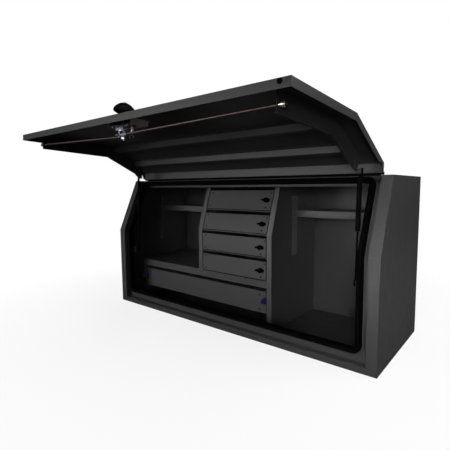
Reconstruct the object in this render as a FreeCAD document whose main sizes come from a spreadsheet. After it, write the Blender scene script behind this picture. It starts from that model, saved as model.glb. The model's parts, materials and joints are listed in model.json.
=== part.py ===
import FreeCAD, Part
import math
import os
import Sketcher

# Side-of-truck tool chest with a gull-wing lid, a bank of four small drawers, one wide drawer
# and two shelved compartments.  Millimetres, +Z up, the opening faces -Y.  The origin is the
# centre of the base.  Outlines are drawn with Y measured back from the front plane and Z up
# from the base; each cabinet piece is then moved back by half the depth.  Lid pieces are drawn
# in the closed position and their placement turns them about the hinge to the open position.

DIMENSIONS = {
    # Cabinet shell
    "width": 1700,
    "depth": 600,
    "height": 800,
    "knee_height": 478,
    "top_setback": 138,
    "sheet": 2,
    "rim_width": 45,
    "jamb_width": 98,
    "recess_depth": 36,
    "sill_height": 30,
    "sill_rise": 84,
    "sill_lip": 12,
    "header_drop": 28,
    "header_lip": 16,
    "header_reach": 40,
    "lip_notch": 45,
    # Door seal
    "seal_width": 24,
    "seal_clearance": 3,
    "seal_low": 68,
    "seal_top": 24,
    # Lid
    "lid_sheet": 1.5,
    "lid_side_gap": 4,
    "lid_sill_gap": 2,
    "lid_edge": 28.5,
    "lid_strip": 41,
    "lid_tail": 10,
    "lid_taper": 12,
    "lid_shoulder": 40,
    "lid_head_gap": 2,
    "lid_angle": 93.15,
    "web_inset": 82,
    "web_depth": 70,
    "web_low": 95,
    "web_high": 700,
    "web_hem": 12,
    "rib_height": 27,
    "rib_base": 42,
    "rib_slope": 12,
    "rib_foot": 12,
    "lower_rib": 14,
    "upper_rib": 188,
    # Piano hinge
    "hinge_setback": 42.5,
    "hinge_rise": 8,
    "hinge_radius": 7,
    "hinge_leaf": 24,
    "hinge_sheet": 2,
    "hinge_inset": 19,
    "pin_radius": 3,
    "knuckle_gap": 0.5,
    "leaf_gap": 0.6,
    "roof_gap": 1,
    # Lid lock
    "lock_place": -35,
    "lock_height": 121,
    "sleeve_radius": 15,
    "sleeve_play": 0.2,
    "flange_radius": 45,
    "flange_thickness": 4,
    "plate_width": 150,
    "plate_height": 84,
    "plate_drop": 24,
    "plate_standoff": 20,
    "plate_foot": 12,
    "block_side": 52,
    "block_depth": 20,
    "spindle_radius": 6,
    "cam_radius": 28,
    "cam_thickness": 4,
    "cam_gap": 1,
    "crank_end": 3,
    "nut_radius": 11,
    "nut_gap": 4,
    "nut_height": 8,
    "spindle_end": 4,
    "crank": 20,
    "crank_pin": 3,
    "crank_play": 1.2,
    "slot_play": 2.5,
    "rod_depth": 60,
    "tip_depth": 46,
    "tip_height": 105,
    "rod_radius": 5,
    "rod_head": 9,
    "rod_inset": 8,
    "head_length": 16,
    "yoke_side": 20,
    "yoke_thickness": 6,
    "guide_radius": 7,
    "guide_play": 0.4,
    "guide_length": 3,
    "guide_rim": 2.5,
    "handle_span": 98,
    "handle_width": 33,
    "handle_rise": 73,
    "handle_crown": 26,
    "handle_shoulder": 62,
    "handle_droop": 39,
    "handle_tip": 7,
    "handle_neck": 20,
    "handle_gap": 1,
    "socket_floor": 14,
    "boss_radius": 15,
    "bung_radius": 6,
    "bung_inset": 34,
    "bung_depth": 9,
    "bung_length": 6,
    "bung_rim": 2,
    "bung_rim_depth": 1.5,
    # Gas struts
    "strut_inset": 19,
    "strut_foot_back": 57,
    "strut_foot_height": 350,
    "strut_head_back": 172,
    "strut_head_height": 708,
    "cylinder_radius": 10.5,
    "cylinder_length": 220,
    "cylinder_wall": 1,
    "cylinder_gland": 8,
    "strap_length": 32,
    "strap_width": 14,
    "strap_thickness": 4,
    "ram_radius": 4,
    "strut_end_gap": 0.5,
    "stud_radius": 4,
    "stud_grip": 5,
    "stud_over": 1,
    "stem_radius": 3.5,
    "ball_radius": 5,
    "foot_bracket_gap": 8,
    "foot_bracket_reach": 30,
    "foot_bracket_depth": 14,
    "foot_bracket_height": 36,
    "ear_margin": 9,
    "ear_reach": 46,
    "ear_drop": 42,
    "ear_slant": 12,
    # Posts, platform and cross rails
    "skin": 1.5,
    "post_width": 30,
    "divider_left": 239,
    "bank_opening": 457,
    "bank_front": 130,
    "bank_knee": 506,
    "bank_setback": 95,
    "platform_top": 271,
    "platform_lip": 41,
    "rail_height": 8,
    "rail_depth": 28,
    # Drawers
    "front_depth": 15,
    "front_gap": 5,
    "front_clearance": 1,
    "finger_gap": 18,
    "front_a": 102,
    "front_b": 91,
    "front_c": 93,
    "front_d": 96,
    "tray_wall": 1.2,
    "tray_gap": 13,
    "tray_freeboard": 14,
    "tray_end": 560,
    "runner_height": 12,
    "runner_up": 28,
    "slide_gap": 0.5,
    "slide_sheet": 1.5,
    "latch_inset": 26,
    "latch_radius": 13,
    "latch_tail": 37,
    "latch_thickness": 14,
    "latch_shaft": 5,
    "latch_step": 2,
    "slot_clearance": 2,
    "tongue_length": 34,
    "tongue_width": 12,
    "tongue_thickness": 3,
    # Wide bottom drawer
    "wide_inset": 7,
    "wide_low": 95,
    "wide_front": 126,
    "wide_slide_height": 46,
    "wide_slide_up": 70,
    "wide_stack": 19,
    "wide_fixed_lip": 7,
    "wide_middle_play": 4,
    "runner_play": 2,
    "lever_pin": 3,
    "lever_pivot": 21,
    "lever_clear": 4,
    "lever_height": 24,
    "lever_width": 7,
    "lever_reach": 36,
    "lever_notch": 12,
    "lever_fall": 9,
    "lever_rise": 3,
    "lever_pin_over": 1,
    # Shelves and their brackets
    "shelf_top": 628,
    "shelf_lip": 36,
    "shelf_back_lip": 20,
    "shelf_front": 334,
    "bracket_depth": 210,
    "bracket_stand": 31,
    "bracket_low": 381,
    "bracket_high": 704,
    "bracket_holes": 6,
    "bracket_pitch": 50,
    "hole_radius": 5,
    "hole_inset": 45,
    # Running fit, as a radius
    "fit": 0.05,
}

doc = FreeCAD.newDocument("ToolChest")
sheet = doc.addObject("Spreadsheet::Sheet", "dims")


def fill_sheet():
    for row, (alias, size) in enumerate(DIMENSIONS.items(), start=1):
        sheet.set(f"A{row}", str(size))
        sheet.setAlias(f"A{row}", alias)
    doc.recompute()


fill_sheet()


# ---- Expressions that pieces share -------------------------------------------------------

LEAN = "(dims.top_setback / (dims.height - dims.knee_height))"
SECANT = f"sqrt(1 + {LEAN}^2)"
BANK_LEAN = "(dims.bank_setback / (dims.height - dims.bank_knee))"
INNER_WIDTH = "(dims.width / 2 - dims.sheet)"
ROOF_UNDER = "(dims.height - dims.sheet)"
REAR_INNER = "(dims.depth - dims.sheet)"
RETURN_OUTER = "(dims.width / 2 - dims.rim_width)"
RETURN_INNER = f"({RETURN_OUTER} - dims.sheet)"
OPENING_HALF = "(dims.width / 2 - dims.jamb_width)"
RECESS_FACE = "(dims.recess_depth - dims.sheet)"
HINGE_BACK = "(dims.top_setback + dims.hinge_setback)"
HINGE_HEIGHT = "(dims.height + dims.hinge_rise)"
ROOF_FRONT = f"({HINGE_BACK} + dims.hinge_radius + dims.roof_gap)"
HEADER_FLOOR = "(dims.height - dims.header_drop)"
HEADER_FRONT = f"({ROOF_FRONT} - dims.header_reach)"
LID_HALF = f"({RETURN_INNER} - dims.lid_side_gap)"
LID_LOW = "(dims.sill_height + dims.lid_sill_gap)"
LID_TAIL_BACK = "(dims.top_setback + dims.lid_strip)"
WEB_OUTER = f"({LID_HALF} - dims.web_inset)"
HINGE_LENGTH = f"(2 * ({LID_HALF} - dims.hinge_inset))"
BUNG_PLACE = f"({LID_HALF} - dims.bung_inset)"
ROD_REACH = f"({OPENING_HALF} - dims.rod_inset)"
STRUT_PLACE = f"({OPENING_HALF} - dims.strut_inset)"
WIDE_LEFT = f"({OPENING_HALF} - dims.wide_inset)"
BANK_LEFT = "(dims.divider_left - dims.bank_opening)"
DIVIDER_RIGHT = "(dims.divider_left + dims.post_width)"


def leaning_y(height, inset="0"):
    """Y on the leaning front plane at a height, at a square inset behind it."""
    return f"((({height}) - dims.knee_height) * {LEAN} + ({inset}) * {SECANT})"


def knee_z(inset):
    """Height of the knee at a square inset behind both front planes."""
    return f"(dims.knee_height - ({inset}) * ({SECANT} - 1) / {LEAN})"


def leaning_bank_y(height):
    """Y of the drawer bank's face at a height above its knee."""
    return f"(dims.bank_front + (({height}) - dims.bank_knee) * {BANK_LEAN})"


def number(expression):
    found = sheet.evalExpression(expression)
    return float(getattr(found, "Value", found))


# ---- Sketches, pads and pockets ----------------------------------------------------------

PLANES = {"x": ("YZ_Plane", 1), "y": ("XZ_Plane", -1), "z": ("XY_Plane", 1)}
pockets = []
nodes = []


def fix_point(sketch, geometry, vertex, point):
    """Ties a sketch point to its two expressions."""
    kinds = ("DistanceX", "DistanceY")
    for kind, expression in zip(kinds, point):
        rule = Sketcher.Constraint(kind, -1, 1, geometry, vertex, number(expression))
        index = sketch.addConstraint(rule)
        sketch.setExpression(f"Constraints[{index}]", expression)


def draw_outline(sketch, points):
    """Draws a closed outline of straight lines through points given as expressions."""
    corners = [FreeCAD.Vector(number(u), number(v), 0) for u, v in points]
    count = len(corners)
    first = sketch.GeometryCount
    for index in range(count):
        edge = Part.LineSegment(corners[index], corners[(index + 1) % count])
        sketch.addGeometry(edge, False)
    for index in range(count):
        follower = first + (index + 1) % count
        sketch.addConstraint(Sketcher.Constraint("Coincident", first + index, 2, follower, 1))
    for index, point in enumerate(points):
        fix_point(sketch, first + index, 1, point)


def draw_circle(sketch, centre, radius):
    middle = FreeCAD.Vector(number(centre[0]), number(centre[1]), 0)
    circle = Part.Circle(middle, FreeCAD.Vector(0, 0, 1), number(radius))
    index = sketch.addGeometry(circle, False)
    fix_point(sketch, index, 3, centre)
    rule = sketch.addConstraint(Sketcher.Constraint("Radius", index, number(radius)))
    sketch.setExpression(f"Constraints[{rule}]", radius)


def new_sketch(body, axis, start):
    role, sign = PLANES[axis]
    plane = next(item for item in body.Origin.OriginFeatures if item.Role == role)
    sketch = body.newObject("Sketcher::SketchObject", f"{body.Name}_sketch")
    sketch.AttachmentSupport = [(plane, "")]
    sketch.MapMode = "FlatFace"
    sketch.setExpression("AttachmentOffset.Base.z", f"{sign} * ({start})")
    return sketch


def finish_feature(body, kind, sketch, length, backwards):
    feature = body.newObject(f"PartDesign::{kind}", f"{body.Name}_{kind}")
    feature.Profile = sketch
    feature.Reversed = backwards
    feature.setExpression("Length", length)
    if kind == "Pocket":
        pockets.append(feature)
    return feature


def pad(body, axis, points, start, length):
    """Adds an outline, drawn square to an axis, from start along the axis."""
    sketch = new_sketch(body, axis, start)
    draw_outline(sketch, points)
    return finish_feature(body, "Pad", sketch, length, PLANES[axis][1] < 0)


def cut(body, axis, points, start, length):
    """Removes an outline, drawn square to an axis, from start along the axis."""
    sketch = new_sketch(body, axis, start)
    draw_outline(sketch, points)
    return finish_feature(body, "Pocket", sketch, length, PLANES[axis][1] > 0)


def pad_round(body, axis, centre, radius, start, length):
    sketch = new_sketch(body, axis, start)
    draw_circle(sketch, centre, radius)
    return finish_feature(body, "Pad", sketch, length, PLANES[axis][1] < 0)


def cut_round(body, axis, centres, radius, start, length):
    sketch = new_sketch(body, axis, start)
    for centre in centres:
        draw_circle(sketch, centre, radius)
    return finish_feature(body, "Pocket", sketch, length, PLANES[axis][1] > 0)


def rectangle(low, high):
    """Outline points of the rectangle between two opposite corners."""
    return [low, (high[0], low[1]), high, (low[0], high[1])]


def new_body(name):
    body = doc.addObject("PartDesign::Body", name)
    body.Label = name
    return body


def keep(body, placement=None):
    """Lists a finished sub-part and places it: in the cabinet unless a placement is given."""
    if placement is None:
        body.setExpression("Placement.Base.y", "-dims.depth / 2")
    else:
        body.Placement = placement
    nodes.append(body)
    return body


def keep_group(name, bodies):
    """Lists several like solids as one sub-part."""
    group = doc.addObject("Part::Compound", name)
    group.Label = name
    group.Links = bodies
    nodes.append(group)
    return group


def side_start(side, near, length):
    """Start of a span whose inner end is near, on the right (1) or left (-1) of the middle."""
    return f"({near})" if side > 0 else f"(-(({near}) + ({length})))"


def side_name(side):
    return "right" if side > 0 else "left"


# ---- Placements --------------------------------------------------------------------------


def shift(x, y, z):
    return FreeCAD.Placement(FreeCAD.Vector(x, y, z), FreeCAD.Rotation())


def turn_x(degrees):
    return FreeCAD.Rotation(FreeCAD.Vector(1, 0, 0), degrees)


CABINET = shift(0, -number("dims.depth") / 2, 0)


def lid_placement():
    """From the closed drawing position to the open position, about the hinge pin."""
    centre = FreeCAD.Vector(0, number(HINGE_BACK), number(HINGE_HEIGHT))
    turn = FreeCAD.Placement(FreeCAD.Vector(), turn_x(-number("dims.lid_angle")), centre)
    return CABINET.multiply(turn)


LID = lid_placement()


def on_leaning_lid():
    """Local frame at the lid's knee: Y square into the lid and Z up the leaning panel."""
    lean = math.degrees(math.atan(number(LEAN)))
    knee = FreeCAD.Placement(FreeCAD.Vector(0, 0, number("dims.knee_height")), turn_x(-lean))
    return LID.multiply(knee)


# ---- Cabinet shell -----------------------------------------------------------------------


def make_floor():
    body = new_body("floor_panel")
    outline = rectangle((f"-{INNER_WIDTH}", "dims.sheet"), (INNER_WIDTH, "dims.depth"))
    pad(body, "z", outline, "0", "dims.sheet")
    keep(body)


def make_rear():
    body = new_body("rear_panel")
    outline = rectangle((f"-{INNER_WIDTH}", "dims.sheet"), (INNER_WIDTH, ROOF_UNDER))
    pad(body, "y", outline, REAR_INNER, "dims.sheet")
    keep(body)


def make_roof():
    """Roof sheet with an ear at each end that closes the top of the side rim."""
    body = new_body("roof_panel")
    outline = [
        (f"-{INNER_WIDTH}", "dims.depth"),
        (f"-{INNER_WIDTH}", leaning_y(ROOF_UNDER)),
        (f"-{RETURN_INNER}", leaning_y(ROOF_UNDER)),
        (f"-{RETURN_INNER}", ROOF_FRONT),
        (RETURN_INNER, ROOF_FRONT),
        (RETURN_INNER, leaning_y(ROOF_UNDER)),
        (INNER_WIDTH, leaning_y(ROOF_UNDER)),
        (INNER_WIDTH, "dims.depth"),
    ]
    pad(body, "z", outline, ROOF_UNDER, "dims.sheet")
    keep(body)


def make_end_panel(side):
    body = new_body(f"{side_name(side)}_end_panel")
    outline = [
        ("0", "0"),
        ("0", "dims.knee_height"),
        ("dims.top_setback", "dims.height"),
        ("dims.depth", "dims.height"),
        ("dims.depth", "0"),
    ]
    pad(body, "x", outline, side_start(side, INNER_WIDTH, "dims.sheet"), "dims.sheet")
    keep(body)


def band(outer, inner, low, high):
    """Outline that follows both front planes between two square insets and two heights."""
    return [
        (outer, low),
        (outer, knee_z(outer)),
        (leaning_y(high, outer), high),
        (leaning_y(high, inner), high),
        (inner, knee_z(inner)),
        (inner, low),
    ]


def make_jamb(side):
    """Folded side rim: outer face, return into the recess, and the flange under the seal."""
    body = new_body(f"{side_name(side)}_jamb")
    face_width = f"({INNER_WIDTH} - {RETURN_INNER})"
    face = band("0", "dims.sheet", "dims.sill_height", ROOF_UNDER)
    pad(body, "x", face, side_start(side, RETURN_INNER, face_width), face_width)
    header_under = f"({HEADER_FLOOR} - dims.sheet)"
    back = [
        ("0", "dims.sill_height"),
        ("0", "dims.knee_height"),
        (leaning_y(ROOF_UNDER), ROOF_UNDER),
        (ROOF_FRONT, ROOF_UNDER),
        (ROOF_FRONT, header_under),
        (leaning_y(header_under, "dims.recess_depth"), header_under),
        ("dims.recess_depth", knee_z("dims.recess_depth")),
        ("dims.recess_depth", "dims.sill_height"),
    ]
    pad(body, "x", back, side_start(side, RETURN_INNER, "dims.sheet"), "dims.sheet")
    flange_width = f"({RETURN_INNER} - {OPENING_HALF})"
    flange = band(RECESS_FACE, "dims.recess_depth", "dims.sill_height", header_under)
    pad(body, "x", flange, side_start(side, OPENING_HALF, flange_width), flange_width)
    keep(body)


def make_sill():
    """Bottom strip, the ledge behind it and the riser that carries the bottom of the seal."""
    body = new_body("sill")
    ledge_under = "(dims.sill_height - dims.sheet)"
    strip = [
        ("0", "0"),
        ("0", "dims.sill_height"),
        ("dims.recess_depth", "dims.sill_height"),
        ("dims.recess_depth", ledge_under),
        ("dims.sheet", ledge_under),
        ("dims.sheet", "0"),
    ]
    pad(body, "x", strip, f"-{INNER_WIDTH}", f"2 * {INNER_WIDTH}")
    lip_back = f"({RECESS_FACE} + dims.sill_lip)"
    lip_under = "(dims.sill_rise - dims.sheet)"
    riser = [
        (RECESS_FACE, ledge_under),
        (RECESS_FACE, "dims.sill_rise"),
        (lip_back, "dims.sill_rise"),
        (lip_back, lip_under),
        ("dims.recess_depth", lip_under),
        ("dims.recess_depth", ledge_under),
    ]
    pad(body, "x", riser, f"-{OPENING_HALF}", f"2 * {OPENING_HALF}")
    keep(body)


def make_header():
    """Folded rail under the roof's front edge; its lip stops short of the struts."""
    body = new_body("header_rail")
    floor_under = f"({HEADER_FLOOR} - dims.sheet)"
    lip_low = f"({floor_under} - dims.header_lip)"
    lip_back = f"({HEADER_FRONT} + dims.sheet)"
    riser_front = f"({ROOF_FRONT} - dims.sheet)"
    shelf = [
        (riser_front, ROOF_UNDER),
        (ROOF_FRONT, ROOF_UNDER),
        (ROOF_FRONT, floor_under),
        (HEADER_FRONT, floor_under),
        (HEADER_FRONT, HEADER_FLOOR),
        (riser_front, HEADER_FLOOR),
    ]
    pad(body, "x", shelf, f"-{RETURN_INNER}", f"2 * {RETURN_INNER}")
    lip = rectangle((HEADER_FRONT, lip_low), (lip_back, HEADER_FLOOR))
    lip_half = f"({OPENING_HALF} - dims.lip_notch)"
    pad(body, "x", lip, f"-{lip_half}", f"2 * {lip_half}")
    keep(body)


def make_seal():
    """Bulb seal round the opening: two bent side runs, a bottom run and a top run."""
    body = new_body("door_seal")
    front = "dims.seal_clearance"
    top = f"({HEADER_FLOOR} + dims.seal_top)"
    under = f"({HEADER_FLOOR} - dims.sheet)"
    across = f"({OPENING_HALF} + dims.seal_width)"
    crown = [
        (HEADER_FRONT, HEADER_FLOOR),
        (f"({HEADER_FRONT} + dims.seal_width)", HEADER_FLOOR),
        (f"({HEADER_FRONT} + dims.seal_width)", top),
        (leaning_y(top, front), top),
        (leaning_y(HEADER_FLOOR, front), HEADER_FLOOR),
    ]
    pad(body, "x", crown, f"-{across}", f"2 * {across}")
    low = "dims.seal_low"
    high = f"({low} + dims.seal_width)"
    pad(body, "x", rectangle((front, low), (RECESS_FACE, high)), f"-{across}", f"2 * {across}")
    side_run = [
        (front, low),
        (front, knee_z(front)),
        (leaning_y(HEADER_FLOOR, front), HEADER_FLOOR),
        (HEADER_FRONT, HEADER_FLOOR),
        (HEADER_FRONT, under),
        (leaning_y(under, RECESS_FACE), under),
        (RECESS_FACE, knee_z(RECESS_FACE)),
        (RECESS_FACE, low),
    ]
    for side in (1, -1):
        start = side_start(side, OPENING_HALF, "dims.seal_width")
        pad(body, "x", side_run, start, "dims.seal_width")
    keep(body)


# ---- Drawer bank posts, platform and rails -----------------------------------------------


def bank_profile(inset, low, high, rear):
    """Side outline of a post whose front follows the drawer bank's face."""
    return [
        (f"(dims.bank_front + {inset})", low),
        (f"(dims.bank_front + {inset})", "dims.bank_knee"),
        (f"({leaning_bank_y(high)} + {inset})", high),
        (rear, high),
        (rear, low),
    ]


def make_post(name, left, low):
    """Box-folded upright: a front strip between two skins, open at the back."""
    body = new_body(name)
    outer = bank_profile("0", low, ROOF_UNDER, REAR_INNER)
    pad(body, "x", outer, left, "dims.post_width")
    inner = bank_profile("dims.skin", "0", "dims.height", "dims.depth")
    cavity = "(dims.post_width - 2 * dims.skin)"
    cut(body, "x", inner, f"({left} + dims.skin)", cavity)
    return body


def make_divider():
    """Full-height post between the drawers and the right compartment, slotted for the latches."""
    body = make_post("center_divider", "dims.divider_left", "dims.sheet")
    for front in FRONTS:
        slot = tongue_slot(front)
        cut(body, "x", slot, "(dims.divider_left - 1)", "(dims.skin + 2)")
    keep(body)


def tongue_slot(front):
    """Slot outline round the latch tongue's swing where it passes the divider's skin."""
    clear = "dims.slot_clearance"
    half = "(dims.tongue_width / 2)"
    swing = f"sqrt(dims.tongue_length^2 + {half}^2 - dims.latch_inset^2)"
    fall = tongue_fall(front)
    low = f"({front['middle']} - {half} - {clear} - {fall})"
    high = f"({front['middle']} + {swing} + {clear})"
    near = f"({face_y(front, low)} + {tongue_depth(front)} - {clear})"
    thickness = f"(dims.tongue_thickness * {latch_stretch(front)})"
    far = f"({face_y(front, high)} + {tongue_depth(front)} + {thickness} + {clear})"
    return rectangle((near, low), (far, high))


def tongue_fall(front):
    """Drop of the tongue's back below the spindle's centre, where the spindle leans."""
    if not front["leaning"]:
        return "0"
    back = "(dims.front_depth + dims.skin + dims.tongue_thickness)"
    return f"({back} * {BANK_LEAN} / {latch_stretch(front)})"


def tongue_depth(front):
    """Level distance from the face to the front of the latch's tongue."""
    return f"((dims.front_depth + dims.skin) * {latch_stretch(front)})"


def make_bank_side():
    left = f"({BANK_LEFT} - dims.post_width)"
    keep(make_post("bank_side_post", left, "dims.platform_top"))


def make_platform():
    """Deck over the wide drawer, with a folded front lip from the slide support to the divider."""
    body = new_body("platform_deck")
    under = "(dims.platform_top - dims.sheet)"
    width = f"({INNER_WIDTH} + dims.divider_left)"
    deck = rectangle(("dims.bank_front", under), (REAR_INNER, "dims.platform_top"))
    pad(body, "x", deck, f"-{INNER_WIDTH}", width)
    lip_low = "(dims.platform_top - dims.platform_lip)"
    lip_back = "(dims.bank_front + dims.sheet)"
    lip = rectangle(("dims.bank_front", lip_low), (lip_back, under))
    pad(body, "x", lip, f"-{OPENING_HALF}", f"({OPENING_HALF} + dims.divider_left)")
    keep(body)


def make_slide_support():
    """Upright angle under the deck that carries the wide drawer's left slide."""
    body = new_body("slide_support_panel")
    outer = f"(-{OPENING_HALF} - dims.sheet)"
    flange = f"({outer} - dims.post_width)"
    front = "(dims.bank_front + dims.sheet)"
    outline = [
        (flange, front),
        (f"-{OPENING_HALF}", front),
        (f"-{OPENING_HALF}", REAR_INNER),
        (outer, REAR_INNER),
        (outer, f"({front} + dims.sheet)"),
        (flange, f"({front} + dims.sheet)"),
    ]
    height = "(dims.platform_top - 2 * dims.sheet)"
    pad(body, "z", outline, "dims.sheet", height)
    keep(body)


def face_y(front, height):
    """Y of a drawer's face plane at a height."""
    return leaning_bank_y(height) if front["leaning"] else "dims.bank_front"


def stack_fronts():
    """The four small fronts from the bottom up: each has a finger gap and a rail above it."""
    fronts = []
    low = "(dims.platform_top + dims.front_clearance)"
    for letter, place in (("d", "fourth"), ("c", "third"), ("b", "second"), ("a", "first")):
        high = f"({low} + dims.front_{letter})"
        leaning = letter in ("a", "b")
        middle = f"(({low} + {high}) / 2)"
        fronts.append(dict(low=low, high=high, middle=middle, place=place, leaning=leaning))
        low = f"({high} + dims.finger_gap + dims.rail_height + dims.front_clearance)"
    return fronts


FRONTS = stack_fronts()


def make_cross_rails():
    """Folded angle above each finger gap, level with the faces of the fronts."""
    bodies = []
    for front, above in zip(FRONTS[:-1], FRONTS[1:]):
        body = new_body(f"rail_over_{front['place']}")
        low = f"({front['high']} + dims.finger_gap)"
        high = f"({low} + dims.rail_height)"
        back = f"({face_y(above, high)} + dims.rail_depth)"
        under = f"({high} - dims.skin)"
        outline = [
            (face_y(above, low), low),
            (face_y(above, high), high),
            (back, high),
            (back, under),
            (f"({face_y(above, under)} + dims.skin)", under),
            (f"({face_y(above, low)} + dims.skin)", low),
        ]
        pad(body, "x", outline, BANK_LEFT, "dims.bank_opening")
        body.setExpression("Placement.Base.y", "-dims.depth / 2")
        bodies.append(body)
    keep_group("cross_rails", bodies)


# ---- Shelves -----------------------------------------------------------------------------


def make_shelf(name, left, right):
    """Shelf between two brackets; its front lip covers the brackets' front faces."""
    body = new_body(name)
    back = "(dims.shelf_front + dims.bracket_depth)"
    under = "(dims.shelf_top - dims.skin)"
    back_low = "(dims.shelf_top - dims.shelf_back_lip)"
    inset = "(dims.bracket_stand + dims.slide_gap)"
    tray = [
        ("dims.shelf_front", "dims.shelf_top"),
        (back, "dims.shelf_top"),
        (back, back_low),
        (f"({back} - dims.skin)", back_low),
        (f"({back} - dims.skin)", under),
        ("dims.shelf_front", under),
    ]
    pad(body, "x", tray, f"({left} + {inset})", f"({right} - {left} - 2 * {inset})")
    lip_front = "(dims.shelf_front - dims.skin)"
    lip_low = "(dims.shelf_top - dims.shelf_lip)"
    lip = rectangle((lip_front, lip_low), ("dims.shelf_front", "dims.shelf_top"))
    pad(body, "x", lip, left, f"({right} - {left})")
    keep(body)


def make_bracket(name, wall, side):
    """Channel bracket on a wall, open towards it, with two columns of shelf holes.

    side is 1 where the bracket stands out towards +X and -1 towards -X."""
    body = new_body(name)
    near = "dims.shelf_front"
    far = "(dims.shelf_front + dims.bracket_depth - dims.skin)"
    tip = f"({wall} + {side} * dims.bracket_stand)"
    web = f"({wall} + {side} * (dims.bracket_stand - dims.skin))"
    outline = [
        (wall, near),
        (tip, near),
        (tip, far),
        (wall, far),
        (wall, f"({far} - dims.skin)"),
        (web, f"({far} - dims.skin)"),
        (web, f"({near} + dims.skin)"),
        (wall, f"({near} + dims.skin)"),
    ]
    pad(body, "z", outline, "dims.bracket_low", "(dims.bracket_high - dims.bracket_low)")
    span = "(dims.bracket_high - dims.bracket_low)"
    count = round(number("dims.bracket_holes"))
    first = f"(dims.bracket_low + ({span} - (dims.bracket_holes - 1) * dims.bracket_pitch) / 2)"
    columns = (f"({near} + dims.hole_inset)", f"({far} - dims.hole_inset)")
    centres = [
        (column, f"({first} + {index} * dims.bracket_pitch)")
        for column in columns
        for index in range(count)
    ]
    start = f"({web} - 1)" if side > 0 else f"({tip} - 1)"
    cut_round(body, "x", centres, "dims.hole_radius", start, "(dims.skin + 2)")
    body.setExpression("Placement.Base.y", "-dims.depth / 2")
    return body


def make_brackets():
    bank_outer = f"({BANK_LEFT} - dims.post_width)"
    walls = (
        ("bracket_left_wall", f"(-{INNER_WIDTH})", 1),
        ("bracket_bank", bank_outer, -1),
        ("bracket_divider", DIVIDER_RIGHT, 1),
        ("bracket_right_wall", INNER_WIDTH, -1),
    )
    keep_group("shelf_brackets", [make_bracket(*wall) for wall in walls])


# ---- Small drawers -----------------------------------------------------------------------

FRONT_LEFT = f"({BANK_LEFT} + dims.front_gap)"
FRONT_RIGHT = "(dims.divider_left - dims.front_gap)"
TRAY_LEFT = f"({BANK_LEFT} + dims.tray_gap)"
TRAY_RIGHT = "(dims.divider_left - dims.tray_gap)"
LATCH_PLACE = "(dims.divider_left - dims.latch_inset)"


def make_front(name, front, left, right):
    """Pan-folded drawer front: a face with a flange all round, open at the back."""
    body = new_body(name)
    low, high = front["low"], front["high"]
    outer = [
        (face_y(front, low), low),
        (face_y(front, high), high),
        (f"({face_y(front, high)} + dims.front_depth)", high),
        (f"({face_y(front, low)} + dims.front_depth)", low),
    ]
    pad(body, "x", outer, left, f"({right} - {left})")
    floor = f"({low} + dims.skin)"
    ceiling = f"({high} - dims.skin)"
    inner = [
        (f"({face_y(front, floor)} + dims.skin)", floor),
        (f"({face_y(front, ceiling)} + dims.skin)", ceiling),
        (f"({face_y(front, ceiling)} + 2 * dims.front_depth)", ceiling),
        (f"({face_y(front, floor)} + 2 * dims.front_depth)", floor),
    ]
    width = f"({right} - {left} - 2 * dims.skin)"
    cut(body, "x", inner, f"({left} + dims.skin)", width)
    return body


def make_small_front(front):
    """Small front with the round hole that the latch turns in."""
    body = make_front(f"{front['place']}_drawer_front", front, FRONT_LEFT, FRONT_RIGHT)
    middle = front["middle"]
    start = f"({face_y(front, middle)} - dims.front_depth)"
    radius = f"((dims.latch_shaft + dims.fit) * {latch_stretch(front)})"
    cut_round(body, "y", [(LATCH_PLACE, middle)], radius, start, "2 * dims.front_depth")
    keep(body)


def latch_stretch(front):
    """A hole cut level through a leaning face is wider by the face's secant."""
    return f"sqrt(1 + {BANK_LEAN}^2)" if front["leaning"] else "1"


def make_small_tray(front):
    """Tray that sits in the folds of the front, with a slide runner along each side."""
    body = new_body(f"{front['place']}_drawer_tray")
    low = f"({front['low']} + dims.skin)"
    high = f"({front['high']} - dims.tray_freeboard)"
    outer = [
        (f"({face_y(front, low)} + dims.skin)", low),
        (f"({face_y(front, high)} + dims.skin)", high),
        ("dims.tray_end", high),
        ("dims.tray_end", low),
    ]
    pad(body, "x", outer, TRAY_LEFT, f"({TRAY_RIGHT} - {TRAY_LEFT})")
    floor = f"({low} + dims.tray_wall)"
    inner = [
        ("0", floor),
        ("0", "dims.height"),
        ("(dims.tray_end - dims.tray_wall)", "dims.height"),
        ("(dims.tray_end - dims.tray_wall)", floor),
    ]
    width = f"({TRAY_RIGHT} - {TRAY_LEFT} - 2 * dims.tray_wall)"
    cut(body, "x", inner, f"({TRAY_LEFT} + dims.tray_wall)", width)
    middle = front["middle"]
    near = f"({face_y(front, middle)} - dims.front_depth)"
    behind = f"({tongue_depth(front)} + dims.tongue_thickness + 2 * dims.slot_clearance)"
    far = f"({face_y(front, high)} + {behind})"
    notch = rectangle((near, f"({middle} - dims.tongue_width)"), (far, "dims.height"))
    cut(body, "x", notch, f"({TRAY_RIGHT} - 2 * dims.tray_wall)", "3 * dims.tray_wall")
    runner_low = f"({low} + dims.runner_up - dims.runner_height / 2)"
    runner_high = f"({runner_low} + dims.runner_height)"
    start = f"({face_y(front, high)} + 2 * dims.front_depth)"
    runner = rectangle((start, runner_low), ("dims.tray_end", runner_high))
    reach = "(dims.tray_gap - dims.slide_sheet - dims.slide_gap)"
    pad(body, "x", runner, TRAY_RIGHT, reach)
    pad(body, "x", runner, f"({TRAY_LEFT} - {reach})", reach)
    keep(body)


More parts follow.
